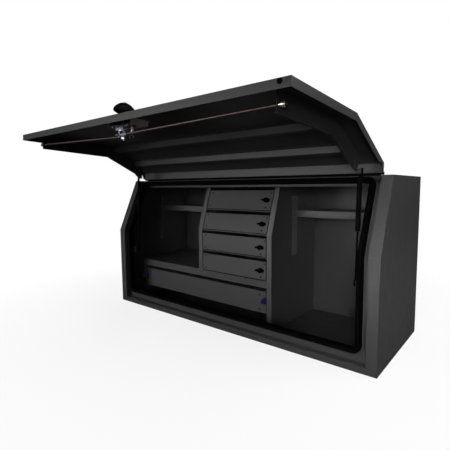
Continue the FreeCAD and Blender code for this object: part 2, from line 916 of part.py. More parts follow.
def make_small_latch(front):
    """Quarter-turn latch: a drop-shaped knob, its spindle and a tongue behind the face."""
    body = new_body(f"{front['place']}_drawer_latch")
    radius = "dims.latch_radius"
    pad_round(body, "y", ("0", "0"), radius, "-dims.latch_thickness", "dims.latch_thickness")
    touch_x = f"(-{radius}^2 / dims.latch_tail)"
    touch_z = f"({radius} * sqrt(1 - ({radius} / dims.latch_tail)^2))"
    drop = [("-dims.latch_tail", "0"), (touch_x, f"-{touch_z}"), (touch_x, touch_z)]
    pad(body, "y", drop, "-dims.latch_thickness", "(dims.latch_thickness - dims.latch_step)")
    tongue_front = "(dims.front_depth + dims.skin)"
    spindle = f"({tongue_front} + dims.tongue_thickness)"
    pad_round(body, "y", ("0", "0"), "dims.latch_shaft", "0", spindle)
    half = "(dims.tongue_width / 2)"
    tongue = rectangle((f"-{half}", f"-{half}"), (half, "dims.tongue_length"))
    pad(body, "y", tongue, tongue_front, "dims.tongue_thickness")
    lean = math.degrees(math.atan(number(BANK_LEAN))) if front["leaning"] else 0
    middle = number(front["middle"])
    place = shift(number(LATCH_PLACE), number(face_y(front, front["middle"])), middle)
    place.Rotation = turn_x(-lean)
    keep(body, CABINET.multiply(place))


def make_bank_slides():
    """Outer half of each small drawer's slides: a channel on the post that holds the runner."""
    bodies = []
    for front in FRONTS:
        centre = f"({front['low']} + dims.skin + dims.runner_up)"
        high = f"({front['high']} - dims.tray_freeboard)"
        start = f"({face_y(front, high)} + 2 * dims.front_depth)"
        half = "(dims.runner_height / 2 + dims.slide_gap)"
        reach = "(dims.tray_gap - dims.slide_sheet - 2 * dims.slide_gap - dims.runner_play)"
        for side, wall in ((1, "dims.divider_left"), (-1, BANK_LEFT)):
            body = new_body(f"{front['place']}_slide_{side_name(side)}")
            web = f"({wall} - {side} * dims.slide_sheet)"
            tip = f"({web} - {side} * {reach})"
            outline = [
                (wall, f"({centre} - {half} - dims.slide_sheet)"),
                (wall, f"({centre} + {half} + dims.slide_sheet)"),
                (tip, f"({centre} + {half} + dims.slide_sheet)"),
                (tip, f"({centre} + {half})"),
                (web, f"({centre} + {half})"),
                (web, f"({centre} - {half})"),
                (tip, f"({centre} - {half})"),
                (tip, f"({centre} - {half} - dims.slide_sheet)"),
            ]
            pad(body, "y", outline, start, f"(dims.tray_end - {start})")
            body.setExpression("Placement.Base.y", "-dims.depth / 2")
            bodies.append(body)
    keep_group("bank_slide_channels", bodies)


# ---- Wide drawer -------------------------------------------------------------------------

WIDE = dict(
    low="dims.wide_low",
    high="(dims.wide_low + dims.wide_front)",
    middle="(dims.wide_low + dims.wide_slide_up)",
    place="wide",
    leaning=False,
)
SLIDE_START = "(dims.bank_front + 2 * dims.front_depth)"
LEVER_PIVOT = ("(dims.bank_front + dims.lever_pivot)", WIDE["middle"])


def wide_walls():
    """The wall that each slide is fixed to, and the side of the drawer that it is on."""
    return ((1, "dims.divider_left"), (-1, f"(-{OPENING_HALF})"))


def tray_side(side, wall):
    """Outer face of the wide tray on one side: one slide's thickness in from the wall."""
    return f"({wall} - {side} * dims.wide_stack)"


def make_wide_front():
    """Wide front with an open notch at each end for the slide-lock levers."""
    left = f"(-{WIDE_LEFT})"
    body = make_front("wide_drawer_front", WIDE, left, FRONT_RIGHT)
    middle = WIDE["middle"]
    low = f"({middle} - dims.lever_height / 2 - dims.lever_fall)"
    high = f"({middle} + dims.lever_height / 2 + dims.lever_rise)"
    for start in (left, f"({FRONT_RIGHT} - dims.lever_notch)"):
        notch = rectangle(("0", low), (SLIDE_START, high))
        cut(body, "x", notch, start, "dims.lever_notch")
    keep(body)


def make_wide_tray():
    body = new_body("wide_drawer_tray")
    low = "(dims.wide_low + dims.skin)"
    high = f"({WIDE['high']} - dims.tray_freeboard)"
    front = "(dims.bank_front + dims.skin)"
    (_, right_wall), (_, left_wall) = wide_walls()
    left = tray_side(-1, left_wall)
    right = tray_side(1, right_wall)
    outer = rectangle((front, low), ("dims.tray_end", high))
    pad(body, "x", outer, left, f"({right} - {left})")
    inner_back = "(dims.tray_end - dims.tray_wall)"
    inner = rectangle(("0", f"({low} + dims.tray_wall)"), (inner_back, "dims.height"))
    inner_width = f"({right} - {left} - 2 * dims.tray_wall)"
    cut(body, "x", inner, f"({left} + dims.tray_wall)", inner_width)
    length = "(dims.lever_clear + dims.lever_width + dims.lever_pin_over)"
    for start in (right, f"({left} - {length})"):
        pad_round(body, "x", LEVER_PIVOT, "dims.lever_pin", start, length)
    keep(body)


def slide_channel(name, side, back, tip, half):
    """One nested channel of a wide slide; back and tip are distances from the wall."""
    body = new_body(name)
    wall = dict(wide_walls())[side]
    middle = WIDE["middle"]
    outer = f"({wall} - {side} * ({back}))"
    web_side = 1 if number(tip) > number(back) else -1
    web = f"({outer} - {side} * {web_side} * dims.slide_sheet)"
    end = f"({wall} - {side} * ({tip}))"
    outline = [
        (outer, f"({middle} - {half})"),
        (outer, f"({middle} + {half})"),
        (end, f"({middle} + {half})"),
        (end, f"({middle} + {half} - dims.slide_sheet)"),
        (web, f"({middle} + {half} - dims.slide_sheet)"),
        (web, f"({middle} - {half} + dims.slide_sheet)"),
        (end, f"({middle} - {half} + dims.slide_sheet)"),
        (end, f"({middle} - {half})"),
    ]
    pad(body, "y", outline, SLIDE_START, f"(dims.tray_end - {SLIDE_START})")
    body.setExpression("Placement.Base.y", "-dims.depth / 2")
    return body


def make_wide_slides():
    """Three nested channels on each side: fixed, middle and drawer member."""
    step = "(dims.slide_sheet + dims.slide_gap)"
    half = "(dims.wide_slide_height / 2)"
    middle_lip = "(dims.wide_stack - dims.slide_sheet - dims.wide_middle_play)"
    inner_lip = f"(2 * {step} + dims.slide_gap)"
    members = (
        ("wide_slide_channels", "0", "dims.wide_fixed_lip", half),
        ("wide_slide_middles", step, middle_lip, f"({half} - {step})"),
        ("wide_slide_inners", "dims.wide_stack", inner_lip, f"({half} - 2 * {step})"),
    )
    for name, back, tip, reach in members:
        sides = [slide_channel(f"{name}_{side_name(s)}", s, back, tip, reach) for s in (1, -1)]
        keep_group(name, sides)


def make_lever(side):
    """Slide-lock lever that stands out through the notch in the wide front."""
    body = new_body(f"{side_name(side)}_slide_lever")
    half = "(dims.lever_height / 2)"
    front = "(dims.bank_front - dims.lever_reach)"
    back = f"({SLIDE_START} - dims.slide_gap)"
    middle = WIDE["middle"]
    outline = [
        (f"({front} + {half} / 2)", f"({middle} - {half})"),
        (front, f"({middle} - {half} / 2)"),
        (front, f"({middle} + {half} / 2)"),
        (f"({front} + {half} / 2)", f"({middle} + {half})"),
        ("dims.bank_front", f"({middle} + {half})"),
        (back, f"({middle} + {half} / 2)"),
        (back, f"({middle} - {half} / 2)"),
        ("dims.bank_front", f"({middle} - {half})"),
    ]
    near = tray_side(side, dict(wide_walls())[side])
    clear = "dims.lever_clear"
    start = f"({near} + {clear})" if side > 0 else f"({near} - {clear} - dims.lever_width)"
    pad(body, "x", outline, start, "dims.lever_width")
    bore = "(dims.lever_pin + dims.fit)"
    cut_round(body, "x", [LEVER_PIVOT], bore, f"({start} - 1)", "(dims.lever_width + 2)")
    keep(body)


# ---- Lid ---------------------------------------------------------------------------------


def make_lid_skin():
    """One folded sheet: front, leaning and top panels with a return down both ends."""
    body = new_body("lid_skin")
    thick = "dims.lid_sheet"
    under = f"(dims.height - {thick})"
    sheet_line = [
        ("0", LID_LOW),
        ("0", "dims.knee_height"),
        ("dims.top_setback", "dims.height"),
        (LID_TAIL_BACK, "dims.height"),
        (LID_TAIL_BACK, under),
        (leaning_y(under, thick), under),
        (thick, knee_z(thick)),
        (thick, LID_LOW),
    ]
    pad(body, "x", sheet_line, f"-{LID_HALF}", f"2 * {LID_HALF}")
    tail = "(dims.height - dims.lid_tail)"
    shoulder = f"({HEADER_FLOOR} + dims.lid_head_gap)"
    elbow = f"({shoulder} - dims.lid_shoulder)"
    end_return = [
        ("0", LID_LOW),
        ("0", "dims.knee_height"),
        ("dims.top_setback", "dims.height"),
        (LID_TAIL_BACK, "dims.height"),
        (LID_TAIL_BACK, tail),
        (leaning_y(shoulder, "dims.lid_taper"), shoulder),
        (leaning_y(elbow, "dims.lid_edge"), elbow),
        ("dims.lid_edge", knee_z("dims.lid_edge")),
        ("dims.lid_edge", LID_LOW),
    ]
    for side in (1, -1):
        start = side_start(side, f"({LID_HALF} - {thick})", thick)
        pad(body, "x", end_return, start, thick)
    bottom = rectangle(("0", LID_LOW), ("dims.lid_edge", f"({LID_LOW} + {thick})"))
    pad(body, "x", bottom, f"-{LID_HALF}", f"2 * {LID_HALF}")
    hole = "(dims.sleeve_radius + dims.sleeve_play)"
    centre = ("dims.lock_place", "dims.lock_height")
    cut_round(body, "y", [centre], hole, "-1", f"({thick} + 2)")
    drain = (BUNG_PLACE, "dims.bung_depth")
    cut_round(body, "z", [drain], "dims.bung_radius", f"({LID_LOW} - 1)", f"({thick} + 2)")
    keep(body, LID)


def crank_side(side):
    """X of one rod's crank pin at rest, an eighth of a turn short of its middle position."""
    return f"(dims.lock_place - {side} * dims.crank * sqrt(0.5))"


def yoke_height(side):
    """Height of a rod's yoke, which covers its crank pin's rise and fall in equal parts."""
    return f"(dims.lock_height - {side} * dims.crank * (1 + sqrt(0.5)) / 2)"


def rod_run(side):
    """Distance across the lid from a rod's crank pin to its tip."""
    return f"({ROD_REACH} - {side} * {crank_side(side)})"


def rod_at_web(side):
    """Depth and height at which a rod crosses its web."""
    share = f"((({WEB_OUTER}) - {side} * {crank_side(side)}) / {rod_run(side)})"
    depth = f"(dims.rod_depth - (dims.rod_depth - dims.tip_depth) * {share})"
    height = f"({yoke_height(side)} - ({yoke_height(side)} - dims.tip_height) * {share})"
    return depth, height


def make_web(side):
    """Stiffening web down one end of the lid, with a hem along its free edge."""
    body = new_body(f"{side_name(side)}_lid_web")
    thick = "dims.lid_sheet"
    low, high, deep = "dims.web_low", "dims.web_high", "dims.web_depth"
    root_high = f"({high} + {deep} * {LEAN} / {SECANT})"
    plate = [
        (thick, low),
        (thick, knee_z(thick)),
        (leaning_y(root_high, thick), root_high),
        (leaning_y(high, deep), high),
        (deep, knee_z(deep)),
        (deep, low),
    ]
    pad(body, "x", plate, side_start(side, f"({WEB_OUTER} - {thick})", thick), thick)
    hem = band(f"({deep} - {thick})", deep, low, high)
    hem_start = side_start(side, f"({WEB_OUTER} - dims.web_hem)", "dims.web_hem")
    pad(body, "x", hem, hem_start, "dims.web_hem")
    start = side_start(side, f"({WEB_OUTER} - {thick} - 1)", f"({thick} + 2)")
    cut_round(body, "x", [rod_at_web(side)], "dims.guide_radius", start, f"({thick} + 2)")
    keep(body, LID)


def make_rib(name, offset):
    """Hat-section rib with sloping sides across the leaning panel between the webs."""
    body = new_body(name)
    thick = "dims.lid_sheet"
    top = f"({thick} + dims.rib_height)"
    foot = f"(2 * {thick})"
    far = f"({offset} + dims.rib_base)"
    crest = f"({offset} + dims.rib_slope)"
    crest_far = f"({far} - dims.rib_slope)"
    outline = [
        (thick, f"({offset} - dims.rib_foot)"),
        (foot, f"({offset} - dims.rib_foot)"),
        (foot, offset),
        (top, crest),
        (top, crest_far),
        (foot, far),
        (foot, f"({far} + dims.rib_foot)"),
        (thick, f"({far} + dims.rib_foot)"),
        (thick, f"({far} - {thick})"),
        (f"({top} - {thick})", f"({crest_far} - {thick})"),
        (f"({top} - {thick})", f"({crest} + {thick})"),
        (thick, f"({offset} + {thick})"),
    ]
    half = f"({WEB_OUTER} - dims.web_hem)"
    pad(body, "x", outline, f"-{half}", f"2 * {half}")
    keep(body, on_leaning_lid())


# ---- Piano hinge -------------------------------------------------------------------------

KNUCKLES = 13


def make_hinge_leaf(name, direction, first, placement):
    """Leaf with every second knuckle; direction is 1 for the roof leaf and -1 for the lid's."""
    body = new_body(name)
    low = "dims.height"
    high = "(dims.height + dims.hinge_sheet)"
    near = f"({HINGE_BACK} + {direction} * (dims.hinge_radius + dims.leaf_gap))"
    far = f"({HINGE_BACK} + {direction} * dims.hinge_leaf)"
    left_end = f"(-{HINGE_LENGTH} / 2)"
    pad(body, "x", rectangle((near, low), (far, high)), left_end, HINGE_LENGTH)
    pitch = f"({HINGE_LENGTH} / {KNUCKLES})"
    for index in range(first, KNUCKLES, 2):
        start = f"({left_end} + {index} * {pitch} + dims.knuckle_gap / 2)"
        length = f"({pitch} - dims.knuckle_gap)"
        pad(body, "x", rectangle((HINGE_BACK, low), (near, high)), start, length)
        pad_round(body, "x", (HINGE_BACK, HINGE_HEIGHT), "dims.hinge_radius", start, length)
    bore = "(dims.pin_radius + dims.fit)"
    centre = (HINGE_BACK, HINGE_HEIGHT)
    cut_round(body, "x", [centre], bore, f"({left_end} - 1)", f"({HINGE_LENGTH} + 2)")
    keep(body, placement)


def make_hinge_pin():
    body = new_body("hinge_pin")
    centre = (HINGE_BACK, HINGE_HEIGHT)
    pad_round(body, "x", centre, "dims.pin_radius", f"-{HINGE_LENGTH} / 2", HINGE_LENGTH)
    keep(body)


# ---- Lid lock ----------------------------------------------------------------------------

LOCK = ("dims.lock_place", "dims.lock_height")
BLOCK_BACK = "(dims.plate_standoff + dims.block_depth)"
CAM_FRONT = f"({BLOCK_BACK} + dims.cam_gap)"
SOCKET_FLOOR = "(dims.socket_floor - dims.handle_rise)"


def around_lock(x, z):
    return (f"(dims.lock_place + ({x}))", f"(dims.lock_height + ({z}))")


def make_backing_plate():
    """Zinc-plated top-hat plate that holds the lock off the skin."""
    body = new_body("lock_backing_plate")
    inner = "dims.lid_sheet"
    half = "(dims.plate_width / 2)"
    foot = f"({half} + dims.plate_foot)"
    foot_top = f"(2 * {inner})"
    face = f"(dims.plate_standoff - {inner})"
    steps = ((foot, inner), (foot, foot_top), (half, foot_top), (half, "dims.plate_standoff"))
    sides = []
    for sign in (1, -1):
        run = [(f"(dims.lock_place + {sign} * {x})", y) for x, y in steps]
        sides.append(run if sign > 0 else run[::-1])
    inside = f"({half} - {inner})"
    returns = [
        (f"(dims.lock_place - {inside})", inner),
        (f"(dims.lock_place - {inside})", face),
        (f"(dims.lock_place + {inside})", face),
        (f"(dims.lock_place + {inside})", inner),
    ]
    low = "(dims.lock_height - dims.plate_drop)"
    pad(body, "z", sides[0] + sides[1] + returns, low, "dims.plate_height")
    hole = "(dims.sleeve_radius + dims.sleeve_play)"
    cut_round(body, "y", [LOCK], hole, f"({face} - 1)", f"({inner} + 2)")
    keep(body, LID)


def make_lock_housing():
    """Outer flange, the sleeve through the skin and the inner block, bored for the spindle."""
    body = new_body("lock_housing")
    thick = "dims.flange_thickness"
    pad_round(body, "y", LOCK, "dims.flange_radius", f"-{thick}", thick)
    pad_round(body, "y", LOCK, "dims.sleeve_radius", "0", "dims.plate_standoff")
    half = "dims.block_side / 2"
    block = rectangle(around_lock(f"-{half}", f"-{half}"), around_lock(half, half))
    pad(body, "y", block, "dims.plate_standoff", "dims.block_depth")
    bore = "(dims.spindle_radius + dims.fit)"
    cut_round(body, "y", [LOCK], bore, f"(-{thick} - 1)", f"({BLOCK_BACK} + {thick} + 2)")
    keep(body, LID)


def crank_centre(side):
    """Crank pin of one rod at rest: low for the right rod and high for the left one."""
    height = f"(dims.lock_height - {side} * dims.crank * sqrt(0.5))"
    return (crank_side(side), height)


def make_cam():
    """Spindle, cam disc, the two crank pins and the end nut."""
    body = new_body("lock_cam")
    yoke_back = "(dims.rod_depth + dims.yoke_thickness / 2)"
    nut = f"({yoke_back} + dims.nut_gap)"
    end = f"({nut} + dims.nut_height + dims.spindle_end)"
    spindle = f"({end} - {SOCKET_FLOOR})"
    pad_round(body, "y", LOCK, "dims.spindle_radius", SOCKET_FLOOR, spindle)
    pad_round(body, "y", LOCK, "dims.cam_radius", CAM_FRONT, "dims.cam_thickness")
    pin_front = f"({CAM_FRONT} + dims.cam_thickness)"
    for side in (1, -1):
        length = f"({yoke_back} + dims.crank_end - {pin_front})"
        pad_round(body, "y", crank_centre(side), "dims.crank_pin", pin_front, length)
    pad_round(body, "y", LOCK, "dims.nut_radius", nut, "dims.nut_height")
    keep(body, LID)


def make_handle():
    """Whale-tail handle: two wings that slope down to a neck on a boss, bored for the spindle."""
    body = new_body("lid_handle")
    wing = (
        ("(dims.handle_crown / 2)", "dims.handle_rise"),
        ("(dims.handle_shoulder / 2)", "(dims.handle_rise + dims.handle_droop) / 2 + dims.handle_tip"),
        ("(dims.handle_span / 2)", "dims.handle_droop"),
        ("(dims.handle_span / 2)", "(dims.handle_droop - dims.handle_tip)"),
        ("dims.boss_radius", "dims.handle_neck"),
    )
    upper = [(f"-({rise})", f"(dims.lock_height + {out})") for out, rise in wing]
    lower = [(f"-({rise})", f"(dims.lock_height - {out})") for out, rise in wing]
    start = "(dims.lock_place - dims.handle_width / 2)"
    pad(body, "x", upper + lower[::-1], start, "dims.handle_width")
    base = "(dims.flange_thickness + dims.handle_gap)"
    boss = f"(dims.handle_neck + dims.handle_tip - {base})"
    pad_round(body, "y", LOCK, "dims.boss_radius", f"(-{base} - {boss})", boss)
    bore = "(dims.spindle_radius + dims.fit)"
    floor = f"({SOCKET_FLOOR} - dims.fit)"
    cut_round(body, "y", [LOCK], bore, floor, "dims.handle_rise")
    keep(body, LID)


def rod_placement(side):
    """Local frame of a rod: the yoke's centre at the origin and the tip along +X."""
    yoke = FreeCAD.Vector(
        number(crank_side(side)), number("dims.rod_depth"), number(yoke_height(side))
    )
    tip = FreeCAD.Vector(
        side * number(ROD_REACH), number("dims.tip_depth"), number("dims.tip_height")
    )
    along = (tip - yoke).normalize()
    across = FreeCAD.Vector(0, side, 0)
    turn = FreeCAD.Rotation(along, across, FreeCAD.Vector(), "XYZ")
    return LID.multiply(FreeCAD.Placement(yoke, turn))


def make_rod(side):
    """Lock rod: a slotted yoke over the crank pin, the rod and its round striking head."""
    body = new_body(f"{side_name(side)}_lock_rod")
    half = "dims.yoke_side / 2"
    low = "(-dims.yoke_thickness / 2)"
    yoke = rectangle((f"-{half}", f"-{half}"), (half, half))
    pad(body, "y", yoke, low, "dims.yoke_thickness")
    reach = "(dims.crank_pin + dims.crank_play)"
    rise = "(dims.crank_pin + dims.slot_play + dims.crank * (1 - sqrt(0.5)) / 2)"
    slot = rectangle((f"-{reach}", f"-{rise}"), (reach, rise))
    cut(body, "y", slot, f"({low} - 1)", "(dims.yoke_thickness + 2)")
    fall = f"({yoke_height(side)} - dims.tip_height)"
    length = f"sqrt({rod_run(side)}^2 + {fall}^2 + (dims.rod_depth - dims.tip_depth)^2)"
    neck = f"({length} - dims.head_length)"
    root = f"({half} - 1)"
    pad_round(body, "x", ("0", "0"), "dims.rod_radius", root, f"({neck} - {root})")
    pad_round(body, "x", ("0", "0"), "dims.rod_head", neck, "dims.head_length")
    keep(body, rod_placement(side))


def make_rod_guides():
    """Flanged bushes in the webs that the lock rods slide through."""
    bodies = []
    for side in (1, -1):
        body = new_body(f"{side_name(side)}_rod_guide")
        centre = rod_at_web(side)
        inner = f"({WEB_OUTER} - dims.lid_sheet)"
        length = "dims.guide_length"
        pad_round(body, "x", centre, "dims.guide_radius", side_start(side, inner, length), length)
        flange = f"({inner} - {length})"
        rim = "(dims.guide_radius + dims.guide_rim)"
        pad_round(body, "x", centre, rim, side_start(side, flange, length), length)
        bore = "(dims.rod_radius + dims.guide_play)"
        through = f"(2 * {length} + 2)"
        cut_round(body, "x", [centre], bore, side_start(side, f"({flange} - 1)", through), through)
        body.Placement = LID
        bodies.append(body)
    keep_group("rod_guides", bodies)


def make_bung():
    """Rubber drain bung in the lid's lower return."""
    body = new_body("lid_bung")
    centre = (BUNG_PLACE, "dims.bung_depth")
    pad_round(body, "z", centre, "dims.bung_radius", LID_LOW, "dims.bung_length")
    rim = "(dims.bung_radius + dims.bung_rim)"
    depth = "dims.bung_rim_depth"
    pad_round(body, "z", centre, rim, f"({LID_LOW} - {depth})", depth)
    keep(body, LID)


# ---- Gas struts --------------------------------------------------------------------------


def strut_line():
    """Foot, head, length and tilt of the struts with the lid open, from the front plane."""
    foot = FreeCAD.Vector(0, number("dims.strut_foot_back"), number("dims.strut_foot_height"))
    head = FreeCAD.Vector(0, number("dims.strut_head_back"), number("dims.strut_head_height"))
    head = CABINET.inverse().multVec(LID.multVec(head))
    span = head - foot
    tilt = math.degrees(math.atan2(span.y, span.z))
    return foot, head, span.Length, tilt


def add_strut_length():
    """Writes the open length, which follows from the lid and its angle, to a cell of its own."""
    row = len(DIMENSIONS) + 1
    sheet.set(f"A{row}", str(round(strut_line()[2], 4)))
    sheet.setAlias(f"A{row}", "strut_length")
    doc.recompute()


def strut_placement():
    foot, _, _, tilt = strut_line()
    local = FreeCAD.Placement(foot, turn_x(-tilt))
    return CABINET.multiply(local)


CYLINDER_TOP = "(dims.strut_length - dims.strap_length)"
CYLINDER_FOOT = f"({CYLINDER_TOP} - dims.cylinder_length)"


def make_strut_cylinder(side):
    """Gas cylinder, drawn up Z from the strut's foot, with a flat strap beside the ball stud."""
    body = new_body(f"{side_name(side)}_strut_cylinder")
    middle = f"({side} * {STRUT_PLACE})"
    radius = "dims.cylinder_radius"
    pad_round(body, "z", (middle, "0"), radius, CYLINDER_FOOT, "dims.cylinder_length")
    bore = f"({radius} - dims.cylinder_wall)"
    bore_foot = f"({CYLINDER_FOOT} + dims.cylinder_gland)"
    depth = "(dims.cylinder_length - 2 * dims.cylinder_gland)"
    cut_round(body, "z", [(middle, "0")], bore, bore_foot, depth)
    gland = "(dims.ram_radius + dims.fit)"
    gland_start = f"({CYLINDER_FOOT} - 1)"
    cut_round(body, "z", [(middle, "0")], gland, gland_start, "(dims.cylinder_gland + 2)")
    half = "dims.strap_width / 2"
    outer = f"({STRUT_PLACE} + {radius} - dims.strap_thickness)"
    start = side_start(side, outer, "dims.strap_thickness")
    strap = rectangle((f"-{half}", CYLINDER_TOP), (half, "dims.strut_length"))
    pad(body, "x", strap, start, "dims.strap_thickness")
    pad_round(body, "x", ("0", "dims.strut_length"), half, start, "dims.strap_thickness")
    keep(body, strut_placement())


def make_strut_ram(side):
    """Ram with its eye on the lower stud and the piston inside the cylinder."""
    body = new_body(f"{side_name(side)}_strut_ram")
    middle = f"({side} * {STRUT_PLACE})"
    eye = "(2 * dims.stud_radius + 1)"
    grip = "(2 * dims.stud_grip)"
    near = f"({STRUT_PLACE} - dims.stud_grip)"
    pad_round(body, "x", ("0", "0"), eye, side_start(side, near, grip), grip)
    piston = f"({CYLINDER_FOOT} + dims.cylinder_gland + dims.strut_end_gap)"
    start = "(1.5 * dims.stud_radius)"
    pad_round(body, "z", (middle, "0"), "dims.ram_radius", start, f"({piston} - {start})")
    piston_radius = "(dims.cylinder_radius - dims.cylinder_wall - 2 * dims.fit)"
    pad_round(body, "z", (middle, "0"), piston_radius, piston, "dims.cylinder_gland")
    bore = "(dims.stud_radius + dims.fit)"
    through = f"({grip} + 2)"
    cut_round(body, "x", [("0", "0")], bore, side_start(side, f"({near} - 1)", through), through)
    keep(body, strut_placement())


def make_strut_feet():
    """Angle bracket and stud behind each jamb flange for the struts' lower eyes."""
    bodies = []
    for side in (1, -1):
        body = new_body(f"{side_name(side)}_strut_foot")
        back = "dims.strut_foot_back"
        height = "dims.strut_foot_height"
        thick = "2 * dims.skin"
        tab = f"({STRUT_PLACE} + dims.foot_bracket_gap)"
        outer = f"({OPENING_HALF} + dims.foot_bracket_reach)"
        flange_back = f"(dims.recess_depth + {thick})"
        tab_back = f"({back} + dims.foot_bracket_depth)"
        outline = [
            (f"({side} * {tab})", "dims.recess_depth"),
            (f"({side} * {outer})", "dims.recess_depth"),
            (f"({side} * {outer})", flange_back),
            (f"({side} * ({tab} + {thick}))", flange_back),
            (f"({side} * ({tab} + {thick}))", tab_back),
            (f"({side} * {tab})", tab_back),
        ]
        low = f"({height} - dims.foot_bracket_height / 2)"
        pad(body, "z", outline, low, "dims.foot_bracket_height")
        inner = f"({STRUT_PLACE} - dims.stud_grip - dims.stud_over)"
        length = f"({tab} + {thick} / 2 - {inner})"
        start = side_start(side, inner, length)
        pad_round(body, "x", (back, height), "dims.stud_radius", start, length)
        body.setExpression("Placement.Base.y", "-dims.depth / 2")
        bodies.append(body)
    keep_group("strut_foot_brackets", bodies)


def make_strut_heads():
    """Ear on the outer face of each lid web with the struts' upper ball stud."""
    bodies = []
    for side in (1, -1):
        body = new_body(f"{side_name(side)}_strut_head")
        back = "dims.strut_head_back"
        height = "dims.strut_head_height"
        thick = "(2 * dims.lid_sheet)"
        margin, slant = "dims.ear_margin", "dims.ear_slant"
        ear = [
            (f"({back} + {margin})", f"({height} + {margin})"),
            (f"({back} + {margin})", f"({height} - {slant})"),
            (f"({back} - {slant})", f"({height} - dims.ear_drop)"),
            (f"({back} - dims.ear_reach)", f"({height} - dims.ear_drop + {slant})"),
            (f"({back} - dims.ear_reach / 2)", f"({height} + {margin})"),
        ]
        pad(body, "x", ear, side_start(side, WEB_OUTER, thick), thick)
        near = f"({WEB_OUTER} + {thick} / 2)"
        ball_start = f"({STRUT_PLACE} - dims.stud_grip - dims.stud_over)"
        stem = f"({ball_start} - {near} + 1)"
        stem_start = side_start(side, near, stem)
        pad_round(body, "x", (back, height), "dims.stem_radius", stem_start, stem)
        grip = "(2 * dims.stud_grip)"
        ball = side_start(side, ball_start, grip)
        pad_round(body, "x", (back, height), "dims.ball_radius", ball, grip)
        body.Placement = LID
        bodies.append(body)
    keep_group("strut_head_brackets", bodies)


# ---- Build -------------------------------------------------------------------------------


def make_cabinet():
    make_floor()
    make_rear()
    make_roof()
    for side in (1, -1):
        make_end_panel(side)
        make_jamb(side)
    make_sill()
    make_header()
    make_seal()
    make_divider()
    make_bank_side()
    make_platform()
    make_slide_support()
    make_cross_rails()
    make_shelf("left_shelf", f"(-{INNER_WIDTH})", f"({BANK_LEFT} - dims.post_width)")
    make_shelf("right_shelf", DIVIDER_RIGHT, INNER_WIDTH)
    make_brackets()


def make_drawers():
    for front in FRONTS:
        make_small_front(front)
        make_small_tray(front)
        make_small_latch(front)
    make_bank_slides()
    make_wide_front()
    make_wide_tray()
    make_wide_slides()
    make_lever(1)
    make_lever(-1)


def make_lid():
    make_lid_skin()
    for side in (1, -1):
        make_web(side)
    make_rib("lower_lid_rib", "dims.lower_rib")
    make_rib("upper_lid_rib", "dims.upper_rib")
    make_hinge_leaf("hinge_roof_leaf", 1, 0, CABINET)
    make_hinge_leaf("hinge_lid_leaf", -1, 1, LID)
    make_hinge_pin()
    make_backing_plate()
    make_lock_housing()
    make_cam()
    make_handle()
    for side in (1, -1):
        make_rod(side)
    make_rod_guides()
    make_bung()


def make_struts():
    add_strut_length()
    for side in (1, -1):
        make_strut_cylinder(side)
        make_strut_ram(side)
    make_strut_feet()
    make_strut_heads()


def check_model():
    """Stops if any object failed, any sub-part is not a sound solid or a pocket cut nothing."""
    for item in doc.Objects:
        states = set(item.State)
        if states & {"Invalid", "Error"}:
            raise RuntimeError(f"{item.Name} failed: {item.State}")
    for feature in pockets:
        before = feature.BaseFeature.Shape.Volume
        if before - feature.Shape.Volume < 1:
            raise RuntimeError(f"{feature.Name} cut nothing")
    for node in nodes:
        shape = node.Shape
        if shape.isNull() or not shape.isValid() or not shape.Solids:
            raise RuntimeError(f"{node.Label} is not a sound solid")


def export_nodes():
    os.makedirs("parts", exist_ok=True)
    for node in nodes:
        node.Shape.exportStep(f"parts/{node.Label}.step")


make_cabinet()
make_drawers()
make_lid()
make_struts()
doc.recompute()
check_model()
export_nodes()
print(len(nodes), "sub-parts written")
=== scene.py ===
import json
import math

import bmesh
import bpy
from mathutils import Matrix, Vector


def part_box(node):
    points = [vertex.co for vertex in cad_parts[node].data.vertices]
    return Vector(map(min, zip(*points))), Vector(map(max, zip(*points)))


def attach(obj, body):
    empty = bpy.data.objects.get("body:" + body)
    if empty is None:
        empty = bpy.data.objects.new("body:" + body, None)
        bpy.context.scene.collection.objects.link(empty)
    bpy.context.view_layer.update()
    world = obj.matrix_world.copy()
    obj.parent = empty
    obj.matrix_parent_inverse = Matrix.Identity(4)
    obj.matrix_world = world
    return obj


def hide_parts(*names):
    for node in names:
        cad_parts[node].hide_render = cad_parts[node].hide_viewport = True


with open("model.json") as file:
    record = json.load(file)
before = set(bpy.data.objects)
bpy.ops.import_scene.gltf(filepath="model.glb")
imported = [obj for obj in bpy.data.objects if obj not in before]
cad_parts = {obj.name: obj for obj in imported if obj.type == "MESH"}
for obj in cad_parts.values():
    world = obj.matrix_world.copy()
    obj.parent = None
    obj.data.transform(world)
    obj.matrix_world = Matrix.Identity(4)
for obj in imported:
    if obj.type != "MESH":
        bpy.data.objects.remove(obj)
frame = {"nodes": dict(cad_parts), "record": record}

# The scene repeats the sizes that its added pieces need, in millimetres: Y is measured back
# from the cabinet's front plane, X from its middle and Z up from its base.
DEPTH = 600
SHEET_INSIDE = 848
BAY_LEFT_END = -248
BAY_RIGHT_START = 269
BRACKET_DEPTH = 31
HINGE_REACH = 780.6
KNEE = 478
SETBACK = 138
HEIGHT = 800
LEAN = math.atan2(SETBACK, HEIGHT - KNEE)
HINGE = (180.5, 808)
LID_TURN = math.radians(-93.15)

# Directions in a drawing, and the sign in X and the name of each side.
INWARD = (0, 1, 0)
OUTWARD = (0, -1, 0)
UPWARD = (0, 0, 1)
SIDES = ((1, "right"), (-1, "left"))

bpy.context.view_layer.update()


def at(x, y, z):
    """Row-frame position, in metres, of a place on the cabinet."""
    return Vector((x, y - DEPTH / 2, z)) / 1000


